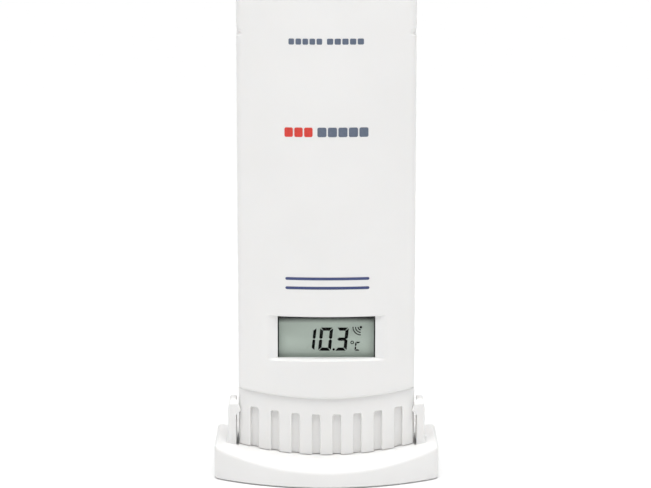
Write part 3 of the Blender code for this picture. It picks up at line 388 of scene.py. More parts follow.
def noise(tree, scale, detail=3.0, roughness=0.5):
    """Noise in the object's own coordinates; scale is in cycles per metre."""
    node = tree.nodes.new("ShaderNodeTexNoise")
    node.inputs["Scale"].default_value = scale
    node.inputs["Detail"].default_value = detail
    node.inputs["Roughness"].default_value = roughness
    tree.links.new(own_place(tree), node.inputs["Vector"])
    return node.outputs["Fac"]


def remap(tree, source, low, high, spread=(0.3, 0.7)):
    """A number that runs from low to high as the source runs over spread."""
    node = tree.nodes.new("ShaderNodeMapRange")
    node.inputs["From Min"].default_value, node.inputs["From Max"].default_value = spread
    node.inputs["To Min"].default_value, node.inputs["To Max"].default_value = low, high
    tree.links.new(source, node.inputs["Value"])
    return node.outputs["Result"]


def set_values(node, **values):
    """Sets a node's input values; an underscore in a name stands for the space in the socket's name."""
    for name, value in values.items():
        node.inputs[name.replace("_", " ")].default_value = value


def two_tone(tree, source, first, second):
    """A colour between two, as the source runs from 0 to 1."""
    node = tree.nodes.new("ShaderNodeMix")
    node.data_type = "RGBA"
    node.inputs["A"].default_value = (*first, 1)
    node.inputs["B"].default_value = (*second, 1)
    tree.links.new(source, node.inputs["Factor"])
    return node.outputs["Result"]


def bumps(tree, shader, layers_of_relief):
    """Adds relief: each layer is (height source, height in metres), chained into the shader's normal."""
    before = None
    for source, height in layers_of_relief:
        node = tree.nodes.new("ShaderNodeBump")
        node.inputs["Strength"].default_value = 1.0
        node.inputs["Distance"].default_value = height
        tree.links.new(source, node.inputs["Height"])
        if before is not None:
            tree.links.new(before, node.inputs["Normal"])
        before = node.outputs["Normal"]
    tree.links.new(before, shader.inputs["Normal"])


def shade(base, factor):
    """A colour made lighter or darker, kept within white."""
    return tuple(min(1.0, channel * factor) for channel in base)


def cloudy_colour(tree, shader, source, first, second):
    """Base colour that drifts between two, following a noise."""
    tone = two_tone(tree, remap(tree, source, 0, 1), first, second)
    tree.links.new(tone, shader.inputs["Base Color"])


def cloudy_gloss(tree, shader, source, low, high):
    """Roughness that drifts between two values, following a noise."""
    tree.links.new(remap(tree, source, low, high), shader.inputs["Roughness"])


def moulded_plastic(name, base, roughness=0.42, grain=0.006):
    """Injection-moulded plastic: fine spark-eroded grain, slow waviness and slight tone changes."""
    made, tree, shader = new_finish(name)
    slow = noise(tree, 55, 2.0)
    fine = noise(tree, 4200, 2.0, 0.6)
    middle = noise(tree, 900, 3.0)
    cloudy_colour(tree, shader, slow, shade(base, 0.985), shade(base, 1.01))
    cloudy_gloss(tree, shader, middle, roughness - 0.05, roughness + 0.06)
    set_values(shader, Subsurface_Weight=0.15, Subsurface_Radius=(1.0, 0.9, 0.8), Subsurface_Scale=1.2 * MM, IOR=1.52)
    bumps(tree, shader, [(fine, grain * MM), (slow, 0.012 * MM)])
    return made


def display_tint_and_painted_shade(base):
    """Reflective liquid-crystal background: matte grey-green, faintly cloudy, and darkened along its top
    edge by painted shade that stands for the shadow the recess's lip casts on the glass."""
    made, tree, shader = new_finish("display_tint_and_painted_shade")
    cloud = noise(tree, 140, 3.0)
    speckle = noise(tree, 9000, 1.0)
    tone = two_tone(tree, remap(tree, cloud, 0, 1), shade(base, 0.97), shade(base, 1.04))
    # Painted shade: by height, the colour darkens towards the glass's top edge, standing for the lip's shadow.
    edge = tree.nodes.new("ShaderNodeMapRange")
    edge.interpolation_type = "SMOOTHSTEP"
    set_values(edge, From_Min=PAINTED_SHADE_LOW, From_Max=PAINTED_SHADE_HIGH)
    tree.links.new(own_height(tree), edge.inputs["Value"])
    painted_shade = tree.nodes.new("ShaderNodeMix")
    painted_shade.data_type = "RGBA"
    tree.links.new(edge.outputs["Result"], painted_shade.inputs["Factor"])
    tree.links.new(tone, painted_shade.inputs["A"])
    painted_shade.inputs["B"].default_value = (*shade(base, 0.1), 1)
    tree.links.new(painted_shade.outputs["Result"], shader.inputs["Base Color"])
    cloudy_gloss(tree, shader, speckle, 0.32, 0.44)
    bumps(tree, shader, [(speckle, 0.002 * MM)])
    return made


def clear_window():
    """Clear acrylic, as a thin gloss over what lies behind it, with faint surface ripple."""
    made, tree, shader = new_finish("clear_window")
    ripple = noise(tree, 60, 1.0)
    set_values(shader, Base_Color=(0.02, 0.022, 0.021, 1), Alpha=0.06, Specular_IOR_Level=0.2, IOR=1.49)
    cloudy_gloss(tree, shader, ripple, 0.03, 0.07)
    bumps(tree, shader, [(ripple, 0.004 * MM)])
    return made


def print_ink(name, base, roughness=0.38, gloss=0.5):
    """Pad-printed ink: a thin film with uneven cover."""
    made, tree, shader = new_finish(name)
    cover = noise(tree, 1600, 4.0, 0.65)
    cloudy_colour(tree, shader, cover, shade(base, 0.9), shade(base, 1.12))
    cloudy_gloss(tree, shader, cover, roughness - 0.06, roughness + 0.1)
    bumps(tree, shader, [(cover, 0.003 * MM)])
    set_values(shader, Specular_IOR_Level=gloss)
    return made


def plated_steel():
    """Nickel-plated steel: fine drawn lines and slight staining."""
    made, tree, shader = new_finish("plated_steel")
    stain = noise(tree, 400, 4.0)
    lines = noise(tree, 5000, 1.0)
    set_values(shader, Metallic=1.0)
    cloudy_colour(tree, shader, stain, (0.56, 0.54, 0.5), (0.68, 0.66, 0.62))
    cloudy_gloss(tree, shader, stain, 0.22, 0.36)
    bumps(tree, shader, [(lines, 0.003 * MM)])
    return made


def board_lacquer():
    """Green solder mask over copper tracks, which show as slightly raised, lighter lines."""
    made, tree, shader = new_finish("board_lacquer")
    tracks = tree.nodes.new("ShaderNodeTexBrick")
    set_values(tracks, Scale=260, Mortar_Size=0.035, Brick_Width=0.9, Mortar=(0.04, 0.21, 0.08, 1),
               Color1=(0.012, 0.1, 0.035, 1), Color2=(0.016, 0.12, 0.042, 1))
    turn = tree.nodes.new("ShaderNodeMapping")
    set_values(turn, Rotation=(math.pi / 2, 0, 0))
    tree.links.new(own_place(tree), turn.inputs["Vector"])
    tree.links.new(turn.outputs["Vector"], tracks.inputs["Vector"])
    tree.links.new(tracks.outputs["Color"], shader.inputs["Base Color"])
    cloudy_gloss(tree, shader, noise(tree, 700, 2.0), 0.22, 0.34)
    bumps(tree, shader, [(tracks.outputs["Fac"], 0.02 * MM)])
    return made


def banded_rubber():
    """Contact rubber: thin dark conductive bands between soft pink walls."""
    made, tree, shader = new_finish("banded_rubber")
    bands = tree.nodes.new("ShaderNodeTexWave")
    set_values(bands, Scale=900)
    tree.links.new(own_place(tree), bands.inputs["Vector"])
    tone = two_tone(tree, bands.outputs["Fac"], (0.45, 0.1, 0.17), (0.04, 0.03, 0.03))
    tree.links.new(tone, shader.inputs["Base Color"])
    set_values(shader, Roughness=0.75)
    bumps(tree, shader, [(bands.outputs["Fac"], 0.01 * MM)])
    return made


def cell_film():
    """A cell's shrink film: a plain slate-blue jacket, with a plain grey band round its upper third."""
    made, tree, shader = new_finish("cell_film")
    band = tree.nodes.new("ShaderNodeMath")
    band.operation = "GREATER_THAN"
    band.inputs[1].default_value = float(BAY_LOW + 36 * MM)
    tree.links.new(own_height(tree), band.inputs[0])
    tone = two_tone(tree, band.outputs["Value"], (0.03, 0.07, 0.13), (0.42, 0.43, 0.44))
    tree.links.new(tone, shader.inputs["Base Color"])
    film = noise(tree, 500, 3.0)
    cloudy_gloss(tree, shader, film, 0.2, 0.32)
    set_values(shader, Metallic=0.35, Coat_Weight=0.4)
    bumps(tree, shader, [(film, 0.01 * MM)])
    return made


def copper_lacquered():
    """Enamelled copper wire."""
    made, tree, shader = new_finish("copper_lacquered")
    stain = noise(tree, 1200, 3.0)
    cloudy_colour(tree, shader, stain, (0.62, 0.26, 0.12), (0.78, 0.4, 0.22))
    set_values(shader, Metallic=1.0, Roughness=0.25, Coat_Weight=0.5)
    bumps(tree, shader, [(stain, 0.004 * MM)])
    return made


FINISHES = {}


def finishes():
    """Every finish by the name of the record's slot it belongs to, made once."""
    if not FINISHES:
        looks = bpy.context.scene.sensor_finish
        FINISHES.update(
            white_plastic=moulded_plastic("moulded_white", tuple(looks.plastic)),
            display_glass=display_tint_and_painted_shade(tuple(looks.display)),
            clear_window=clear_window(),
            nickel_steel=plated_steel(),
            board=board_lacquer(),
            contact_rubber=banded_rubber(),
            black_plastic=moulded_plastic("moulded_black", (0.018, 0.018, 0.019), 0.4),
            grey_button=moulded_plastic("moulded_grey", (0.3, 0.31, 0.32), 0.5),
            red_insulation=moulded_plastic("red_insulation", (0.5, 0.02, 0.02), 0.35, 0.002),
            cell_jacket=cell_film(),
            copper=copper_lacquered(),
            ink_cool=print_ink("ink_slate", tuple(looks.ink_cool)),
            ink_warm=print_ink("ink_red", tuple(looks.ink_warm)),
            ink_deep=print_ink("ink_navy", tuple(looks.ink_deep)),
            segment=print_ink("display_segment", (0.002, 0.003, 0.002), 0.6, 0.1),
        )
    return FINISHES


# ================================================================ case
def bottom_line(x):
    """The case's arched foot: its height at x."""
    return CASE_LOW + bow(x, bpy.context.scene.sensor_case.end_radius)


def top_line(x, half):
    """The case's arched top with rounded corners: its height at x."""
    case = bpy.context.scene.sensor_case
    inside = np.minimum(np.abs(x), half)
    return CASE_HIGH - bow(inside, case.end_radius) - corner_drop(inside, half, case.top_corner)


def case_edge(x, z, half):
    """Distance inside the case's outline, seen from the front: the nearer of its side and its top."""
    case = bpy.context.scene.sensor_case
    side = half - np.abs(x)
    end = CASE_HIGH - bow(np.minimum(np.abs(x), half), case.end_radius) - z
    return inside_corner(side, end, case.top_corner)


def notch(z):
    """Depth of the side notch at height z: a short flat step below and a longer slope above."""
    above = 1 - (z - NOTCH_HEIGHT - 0.1 * MM) / (1.0 * MM)
    below = 1 - (NOTCH_HEIGHT - 0.1 * MM - z) / (0.5 * MM)
    return bpy.context.scene.sensor_case.notch_depth * np.clip(np.minimum(above, below), 0, 1)


def notched(x, z, half):
    """Draws the outermost 4 mm of a surface in by the notch's depth."""
    share = np.clip((np.abs(x) - (half - 4 * MM)) / (4 * MM), 0, 1)
    return x - np.sign(x) * notch(z) * share


def notch_rows(x):
    """Level rows through the side notch, closer together where its depth changes."""
    zs = NOTCH_HEIGHT + np.array([-1.4, -0.6, -0.35, -0.1, 0.1, 0.35, 0.6, 0.85, 1.1, 1.4]) * MM
    return [(z + 0 * x, 1) for z in zs]


def recessed(y, x, z, floor, lip, sill):
    """Sinks a surface to the display recess's flat floor. The upper lip is rounded, the sill is a 45
    degree slope, and the depth fades out at both ends."""
    share = np.clip((RECESS_HALF + RECESS_FADE - np.abs(x)) / RECESS_FADE, 0, 1)
    depth = np.maximum(floor - y, 0)
    slope = np.maximum(sill - np.maximum(DISPLAY_LOW - z, 0), 0) + 1 * (z > DISPLAY_LOW + 1e-6)
    above = np.minimum(quarter_round(np.maximum(z - DISPLAY_HIGH, 0), lip), depth)
    sunk = np.where(z > DISPLAY_HIGH - 1e-6, above, np.minimum(slope, depth))
    return y + sunk * share


class SENSOR_OT_front_cover(bpy.types.Operator):
    """The bowed front cover. Its depth is an arc across, plus the rounding of its outline's edge,
    and the display recess cuts a flat floor into it."""

    bl_idname = "sensor.front_cover"
    bl_label = "Front cover"

    def execute(self, context):
        case = context.scene.sensor_case
        half, lip_round = COVER_HIGH[0], 0.7 * MM
        stops = [0, case.aperture_half - 0.1 * MM, case.aperture_half, RECESS_HALF, RECESS_HALF + RECESS_FADE,
                 14 * MM, half - case.front_round]
        x = side_to_side(stops, 0.8 * MM, half, case.front_round, 8)
        lip = COVER_LOW[2] + bow(x, case.end_radius)
        top = top_line(x, half)
        flat = 0 * x
        rows = rounded_start(lip, lip_round, 5)
        rows += [(flat + DISPLAY_LOW - 2.3 * MM, 6), (flat + DISPLAY_LOW - SILL, 4), (flat + DISPLAY_LOW, 3)]
        rows += [(flat + DISPLAY_LOW + 0.02 * MM, 1), (flat + DISPLAY_HIGH - 0.02 * MM, 12)]
        rows += [(flat + DISPLAY_HIGH + inset, 1) for inset in edge_insets(0.3 * MM, 5)[::-1]]
        rows += [(flat + DISPLAY_HIGH + 2.3 * MM, 3), (flat + NOTCH_HEIGHT - 3 * MM, 22)]
        rows += notch_rows(x) + [(flat + NOTCH_HEIGHT + 4 * MM, 2)]
        rows += [(top - case.front_round, 14)] + rounded_end(top, case.front_round, 8)
        z = layers(rows)
        x = notched(np.broadcast_to(x, z.shape), z, half)
        y = recessed(FRONT_Y + bow(x, case.bow_radius), x, z, RECESS_Y, 0.3 * MM, SILL)
        lip_depth = quarter_round(z - z[0], lip_round)
        y = y + quarter_round(case_edge(x, z, half - notch(z)), case.front_round) + lip_depth
        inner_x = np.sign(x) * np.interp(np.abs(x), [0, 13 * MM, half], [0, 13 * MM, half - 1.5 * MM])
        inner_z = z - case.wall * np.clip((z - CASE_HIGH + 15 * MM) / (15 * MM), 0, 1)
        inner_y = FRONT_Y + case.wall + bow(inner_x, case.bow_radius - case.wall)
        seat_half, seat_past = 12.36 * MM, 2 * MM
        seat = (np.abs(x) < seat_half) & (z > DISPLAY_LOW - seat_past) & (z < DISPLAY_HIGH + seat_past)
        inner_y = np.where(seat, WINDOW_SEAT_Y, inner_y)
        outer, inner = points(x, y, z), points(inner_x, inner_y, inner_z)
        hole = (np.abs(cells(x)) < case.aperture_half) & (cells(z) > DISPLAY_LOW) & (cells(z) < DISPLAY_HIGH)

        def border(sheet):
            return np.concatenate([sheet[:, 0], sheet[-1, 1:], sheet[-2::-1, -1]])

        side = wall(border(outer), border(inner), 1, [-2 * MM, PART_Y], 0.15 * MM)
        solid("front_cover_shell", [(outer, inner, ~hole), side], finishes()["white_plastic"], "case",
              ["front_cover"])
        return {"FINISHED"}


class SENSOR_OT_vent_skirt(bpy.types.Operator):
    """The fluted skirt. Its depth is the front's arc set back by a step, plus a flute's depth wherever
    a point lies inside one of the round-topped slots."""

    bl_idname = "sensor.vent_skirt"
    bl_label = "Vent skirt"

    def execute(self, context):
        case = context.scene.sensor_case
        half, side_round, foot_round, rib_round = SKIRT_HIGH[0], 0.45 * MM, 0.12 * MM, 0.16 * MM
        slot_half, slot_corner = case.groove_width / 2, 0.5 * MM
        centres = (np.arange(8) - 3.5) * case.groove_pitch
        offsets = np.array([0.0, 0.05, 0.16]) * MM
        edges = np.concatenate([[slot_half - 0.05 * MM], slot_half + offsets, [slot_half + rib_round / 2]])
        stops = np.concatenate([centres[4:, None] + edges, centres[4:, None] - edges], axis=1).ravel()
        stops = ordered([0, *stops, half - side_round])
        x = side_to_side(stops[stops <= half - side_round + 1e-9], 0.5 * MM, half, side_round, 7)
        foot, slot_top = bottom_line(x) - 0.22 * MM, GROOVE_TOP + bow(x, case.end_radius)
        lip = COVER_LOW[2] - 0.08 * MM + bow(x, case.end_radius)
        rows = rounded_start(foot, foot_round, 5)
        rows += [(slot_top - 1.0 * MM, 10), (slot_top + 0.3 * MM, 22)]
        rows += [(lip, 3), (lip + 0.02 * MM, 1), (lip + 2.5 * MM, 2)]
        z = layers(rows)
        wide = np.broadcast_to(x, z.shape)
        tongue = z > lip + 0.01 * MM
        x = np.where(tongue, wide * (half - 1.75 * MM) / half, wide)
        nearest = np.abs(wide[..., None] - centres).min(axis=-1)
        inside = inside_corner(slot_half - nearest, slot_top - z, slot_corner)
        flute = np.where(
            inside > 0,
            rib_round + (case.groove_depth - rib_round) * np.clip(inside / (0.05 * MM), 0, 1),
            quarter_round(-inside, rib_round),
        )
        edge = np.minimum(half - np.abs(wide), 1)
        y = FRONT_Y + case.skirt_step + bow(x, case.bow_radius) + quarter_round(edge, side_round)
        y = y + np.where(tongue, 1.15 * MM, flute) + quarter_round(z - foot, foot_round)
        inner_x = wide * (half - 2.6 * MM) / half
        inner_y = FRONT_Y + case.skirt_step + 2.2 * MM + bow(inner_x, case.bow_radius)
        inner_z = z + case.wall * np.clip(1 - (z - foot) / (6 * MM), 0, 1)
        outer, inner = points(x, y, z), points(inner_x, inner_y, inner_z)

        def border(sheet):
            return np.concatenate([sheet[::-1, 0], sheet[0, 1:], sheet[1:, -1]])

        out, back, _ = wall(border(outer), border(inner), 1, [-3.2 * MM, -0.6 * MM, PART_Y], 0.1 * MM)
        mid = cells(out[..., 0])
        at_foot = np.zeros(mid.shape, bool)
        at_foot[1, len(z) - 1 : len(z) - 1 + z.shape[1] - 1] = True
        slots = np.abs(mid[..., None] - centres[1:-1]).min(axis=-1) < slot_half - 0.06 * MM
        solid("vent_skirt_shell", [(outer, inner, None), (out, back, ~(at_foot & slots))],
              finishes()["white_plastic"], "case", ["vent_skirt"])
        return {"FINISHED"}


def screw_lines(centre, reach, shares):
    """Grid lines round a hole: at each share of its reach and at the reach, on both sides of its centre."""
    return [centre + sign * reach * share for share in (*shares, 1.0) for sign in (-1, 1)]


class SENSOR_OT_rear_shell(bpy.types.Operator):
    """The back of the case: a flat back whose outline is rounded, with side walls, the door's opening,
    air slots, two screw pits, and the battery bay inside."""

    bl_idname = "sensor.rear_shell"
    bl_label = "Rear shell"

    def execute(self, context):
        case = context.scene.sensor_case
        half, edge = SHELL_HIGH[0], case.back_round
        door_half, door_low = 16.3 * MM, DOOR_LOW[2] - 0.3 * MM
        screw_x, screw_z = 13.2 * MM, CASE_LOW + 7.15 * MM
        reach, share, pit = 3.2 * MM, 0.66, 2.6 * MM
        slot_low, slot_high = CASE_LOW + 4 * MM, CASE_LOW + 12 * MM
        slot_pitch, slot_half = 3.2 * MM, 0.8 * MM
        slot_edges = [abs(i * slot_pitch + s * slot_half) for i in (0, 1, 2) for s in (-1, 1)]
        stops = [0, *slot_edges, *screw_lines(screw_x, reach, [share]), door_half, half - edge]
        stops = ordered(stops)
        x = side_to_side(stops[stops <= half - edge + 1e-9], 0.9 * MM, half, edge, 9)
        foot, top, flat = bottom_line(x), top_line(x, half), 0 * x
        lines = sorted([slot_low + slot_half, slot_high, *screw_lines(screw_z, reach, [share])])
        rows = rounded_start(foot, edge, 9)[:-1]
        rows += [(flat + value, 2) for value in lines if value > CASE_LOW + edge + 1.9 * MM]
        rows += [(flat + 30 * MM, 4), (flat + door_low, 8), (flat + NOTCH_HEIGHT, 10), (top - edge, 12)]
        rows += rounded_end(top, edge, 9)
        z = layers(rows)
        x = np.broadcast_to(x, z.shape)
        foot_corner = inside_corner(half - np.abs(x), z - z[0], 1 * MM)
        y = BACK_Y - quarter_round(np.minimum(case_edge(x, z, half), foot_corner), edge)
        shares = []
        for side in (-1, 1):
            x, z, near = ring_warp(x, z, (side * screw_x, screw_z), reach, [(share, pit)])
            shares.append(near)
        near = np.minimum(*shares)
        inner_x = np.sign(x) * np.interp(np.abs(x), [0, door_half, half], [0, door_half, half - case.wall])
        inner_z = z + case.wall * np.clip(1 - (z - CASE_LOW) / (9 * MM), 0, 1)
        inner_z = inner_z - case.wall * np.clip((z - CASE_HIGH + 8 * MM) / (8 * MM), 0, 1)
        inner_y = np.full(z.shape, BACK_Y - case.wall)
        in_pit = near <= share + 1e-6
        inner_x, inner_z = np.where(in_pit, x, inner_x), np.where(in_pit, z, inner_z)
        inner_y = np.where(in_pit, 7.5 * MM, inner_y)
        outer, inner = points(x, y, z), points(inner_x, inner_y, inner_z)
        mid_x, mid_z = cells(x), cells(z)
        opening = (np.abs(mid_x) < door_half) & (mid_z > door_low)
        along_row = np.abs(mid_x) % slot_pitch
        slots = (np.abs(mid_x) < 2 * slot_pitch + slot_half) & (mid_z > slot_low + slot_half) & (mid_z < slot_high)
        slots &= np.minimum(along_row, slot_pitch - along_row) < slot_half
        pits = cells(near) < share

        levels = [9.6 * MM, 3.7 * MM, 3.5 * MM, SHELL_FRONT_Y]
        out, back, _ = wall(outline(outer), outline(inner), 1, levels, 0.15 * MM)
        sunk = np.where((out[..., 1] < 3.6 * MM) & (np.abs(out[..., 0]) > half - 1 * MM), notch(out[..., 2]), 0)
        out[..., 0] -= np.sign(out[..., 0]) * sunk
        columns = z.shape[1]
        top_from = columns - 1 + len(z) - 1
        exit_cells = np.zeros((len(out) - 1, out.shape[1] - 1), bool)
        exit_cells[0, top_from : top_from + columns - 1] = True
        exit_cells &= np.abs(cells(out[..., 0])) < door_half
        sheets = [(outer, inner, ~(opening | slots | pits)), (out, back, ~exit_cells)]
        sheets += battery_bay() + battery_shelf()
        solid("rear_shell_body", sheets, finishes()["white_plastic"], "case", ["rear_shell"])
        return {"FINISHED"}


def battery_bay():
    """The bay's U-shaped wall, carried up along Z, and the plates that close its two ends."""
    back = 9.6 * MM
    across = np.array([-17.05, -17.05, -12, 12, 17.05, 17.05]) * MM
    front = np.array([9.6, -1.2, -4.7, -4.7, -1.2, 9.6]) * MM
    across_in = np.array([-16.15, -16.15, -11.6, 11.6, 16.15, 16.15]) * MM
    front_in = np.array([9.6, -0.75, -3.8, -3.8, -0.75, 9.6]) * MM
    low, high = BAY_LOW - 1.4 * MM, BAY_HIGH + 0.9 * MM
    rise = np.array([low, high])[:, None]
    sheets = [(points(across, front, rise), points(across_in, front_in, rise), None)]
    depth = np.array([0, 1])[:, None]
    plan_x, plan_y = across[1:5], front[1:5] + (back - front[1:5]) * depth
    for lower, upper in ((low, BAY_LOW), (BAY_HIGH, high)):
        sheets.append((points(plan_x, plan_y, upper), points(plan_x, plan_y, lower), None))
    return sheets


def battery_shelf():
    """The shelf below the bay, with round holes for the button and the upper screws, and the ledge
    below the door."""
    reach, share, radius = 3.4 * MM, 0.65, 2.6 * MM
    holes = [(0.0, CASE_LOW + 61.15 * MM), (11.5 * MM, CASE_LOW + 61.65 * MM), (-11.5 * MM, CASE_LOW + 61.65 * MM)]
    low, high, half = DOOR_LOW[2] - 1 * MM, BAY_LOW, 17.5 * MM
    axes = []
    for axis, ends in enumerate([(-half, half), (low, high)]):
        around = [value for hole in holes for value in screw_lines(hole[axis], reach, [share])]
        axes.append(places(ordered([*ends, *around]), 0.8 * MM))
    x, z = np.meshgrid(*axes)
    removed = np.zeros((len(x) - 1, x.shape[1] - 1), bool)
    for hole in holes:
        x, z, near = ring_warp(x, z, hole, reach, [(share, radius)])
        removed |= cells(near) < share
    shelf = (points(x, 9.6 * MM, z), points(x, 8.3 * MM, z), ~removed)
    ledge = bar((-half, 8.3 * MM, low - 1 * MM), (half, 11.5 * MM, DOOR_LOW[2] - 0.3 * MM))
    return [shelf, ledge]


class SENSOR_OT_battery_door(bpy.types.Operator):
    """The sliding door: a flat plate that continues the case's rounded top edge, with three thumb
    grooves, a thick cap and a tongue along each side."""

    bl_idname = "sensor.battery_door"
    bl_label = "Battery door"

    def execute(self, context):
        case = context.scene.sensor_case
        half, low, cap, edge, soft = 16.0 * MM, DOOR_LOW[2], 129.75 * MM, case.back_round, 0.3 * MM
        groove_half = 6 * MM
        x = side_to_side([0, groove_half - 0.6 * MM, groove_half, half - soft], 0.8 * MM, half, soft, 4)
        flat, top = 0 * x, top_line(x, SHELL_HIGH[0])
        rows = rounded_start(flat + low, soft, 4)
        rows += [(flat + low + 6.6 * MM, 5), (flat + low + 14.2 * MM, 38)]
        rows += [(flat + cap - 0.05 * MM, 40), (flat + cap + 0.05 * MM, 1)]
        rows += rounded_end(top, edge, 9)
        z = layers(rows)
        z[:-8] = np.minimum(z[:-8], z[-8] - 0.05 * MM)
        x = np.broadcast_to(x, z.shape)
        own = np.minimum(half - np.abs(x), z - low)
        y = BACK_Y - quarter_round(top - z, edge) - quarter_round(own, soft)
        grooves = low + (7.6 + 2.4 * np.arange(3)) * MM
        away = np.abs(z[..., None] - grooves).min(axis=-1)
        ends = np.clip((groove_half - np.abs(x)) / (0.5 * MM), 0, 1)
        y = y - 0.5 * MM * ends * np.sqrt(np.clip(1 - (away / (0.75 * MM)) ** 2, 0, 1))
        inner_y = np.where(z > cap, 9.9 * MM, BACK_Y - case.wall)
        sheets = [(points(x, y, z), points(x, inner_y, z), None)]
        for side in (-1, 1):
            for reach, front, back, top_end in ((17.1, 10.0, 11.0, 130.6), (15.95, 10.9, 11.4, 129)):
                xs = sorted((side * 14.6 * MM, side * reach * MM))
                sheets.append(bar((xs[0], front * MM, low), (xs[1], back * MM, top_end * MM)))
        solid("battery_door_panel", sheets, finishes()["white_plastic"], "battery_door",
              ["battery_door"])
        return {"FINISHED"}


# ================================================================ holder
def holder_top(x, y):
    """Height of the holder's top: an arch across, a slope down to the front and a low rim at the back."""
    case = bpy.context.scene.sensor_case
    front, seat, rim = STAND_LOW[1], FRONT_Y + case.skirt_step, BACK_Y + 0.4 * MM
    heights = [STAND_FRONT_EDGE, SEAT_HEIGHT, SEAT_HEIGHT, SEAT_HEIGHT + 1 * MM]
    return np.interp(y, [front, seat, rim, rim + 0.8 * MM], heights) + bow(x, case.end_radius)


def holder_base():
    """The base: a thin arched top with rounded edges, walls down to the table, ribs and two screw bosses."""
    holder = bpy.context.scene.sensor_holder
    half, edge, nose, corner = STAND_HIGH[0], holder.edge_round, holder.nose_round, 1.2 * MM
    screw = (11 * MM, 2.3 * MM)
    bore, sink = 0.45, 0.72
    reach, shares = 5.4 * MM, [bore, sink]
    rings = [(bore, 2.1 * MM), (sink, 3.9 * MM)]
    slot = (COVER_HIGH[0] + 0.05 * MM, COVER_HIGH[0] + 0.5 * MM)
    stops = [0, 3 * MM, *screw_lines(screw[0], reach, shares), *slot, STAND_BACK_HALF - 0.02 * MM, STAND_BACK_HALF]
    x = side_to_side(ordered([*stops, half - corner]), 0.9 * MM, half, corner, 9)
    front = STAND_LOW[1] + bow(x, holder.front_radius) + corner_drop(x, half, 1.0 * MM)
    back = np.where(np.abs(x) < STAND_BACK_HALF, STAND_HIGH[1], SHOULDER_Y - corner_drop(x, half, corner))
    flat = 0 * x
    rows = rounded_start(front, nose, 9) + [(np.maximum(front + nose, flat - 7.5 * MM), 12)]
    rows += [(flat + value, 2) for value in sorted(screw_lines(screw[1], reach, shares))]
    squeeze = (back - edge - 8.5 * MM) / (STAND_HIGH[1] - edge - 8.5 * MM)
    for value, count in ((BACK_Y + 0.3 * MM, 6), (BACK_Y + 0.5 * MM, 2), (BACK_Y + 1.3 * MM, 5)):
        rows.append((8.5 * MM + (value - 8.5 * MM) * squeeze, count))
    rows += [(back - inset, 1 if i else 3) for i, inset in enumerate(edge_insets(edge, 7))]
    y = layers(rows)
    x = np.broadcast_to(x, y.shape)
    side = half - np.abs(x)
    depth_edge = inside_corner(side, back - y, corner)
    step = np.where((y > SHOULDER_Y) & (np.abs(x) < STAND_BACK_HALF), STAND_BACK_HALF - np.abs(x), 1)
    depth_edge = np.minimum(depth_edge, step)
    drop = quarter_round(np.maximum(depth_edge, 0), edge)
    z = holder_top(x, y) - np.maximum(drop, quarter_round(y - front, nose))
    dimple = 1 - (x / (2.9 * MM)) ** 2 - ((y + 12.0 * MM) / (1.85 * MM)) ** 2
    z = z - 0.4 * MM * np.sqrt(np.clip(dimple, 0, 1))
    nearness = []
    for turn in (-1, 1):
        x, y, near = ring_warp(x, y, (turn * screw[0], screw[1]), reach, rings)
        nearness.append(near)
    near = np.minimum(*nearness)
    z = z - 1.8 * MM * np.clip((sink - near) / (sink - bore), 0, 1)
    lean = np.interp(np.abs(x), [0, 17 * MM, half], [0, 0, holder.skin])
    inner_x = x - np.sign(x) * lean
    ahead = np.interp(y, [STAND_LOW[1], -10 * MM], [holder.skin, 0])
    behind = np.interp(back - y, [0, 5 * MM], [holder.skin, 0])
    inner_y = y + ahead - behind
    inner_z = holder_top(inner_x, inner_y) - holder.skin
    inner_z = np.where(near < 0.5, np.minimum(inner_z, z - 0.3 * MM), inner_z)
    outer, inner = points(x, y, z), points(inner_x, inner_y, inner_z)

    mid_x = cells(np.abs(x))
    slotted = (mid_x > slot[0]) & (mid_x < slot[1]) & (np.abs(cells(y)) < 5.2 * MM)
    sheets = [(outer, inner, (cells(near) >= bore) & ~slotted)]
    sheets.append(wall(outline(outer), outline(inner), 2, [1.5 * MM, 0.0], 0.25 * MM))
    for turn in (-1, 1):
        sheets.append(tube((turn * screw[0], screw[1]), 4.6 * MM, 2.1 * MM, 0.0, 2.9 * MM))
    for place in (-16.5 * MM, 0.0, 16.5 * MM):
        sheets.append(bar((place - 0.6 * MM, -12 * MM, 0.4 * MM), (place + 0.6 * MM, 16 * MM, 3.0 * MM)))
    sheets.append(bar((-22.5 * MM, -6.6 * MM, 0.6 * MM), (22.5 * MM, -5.4 * MM, 3.1 * MM)))
    return sheets


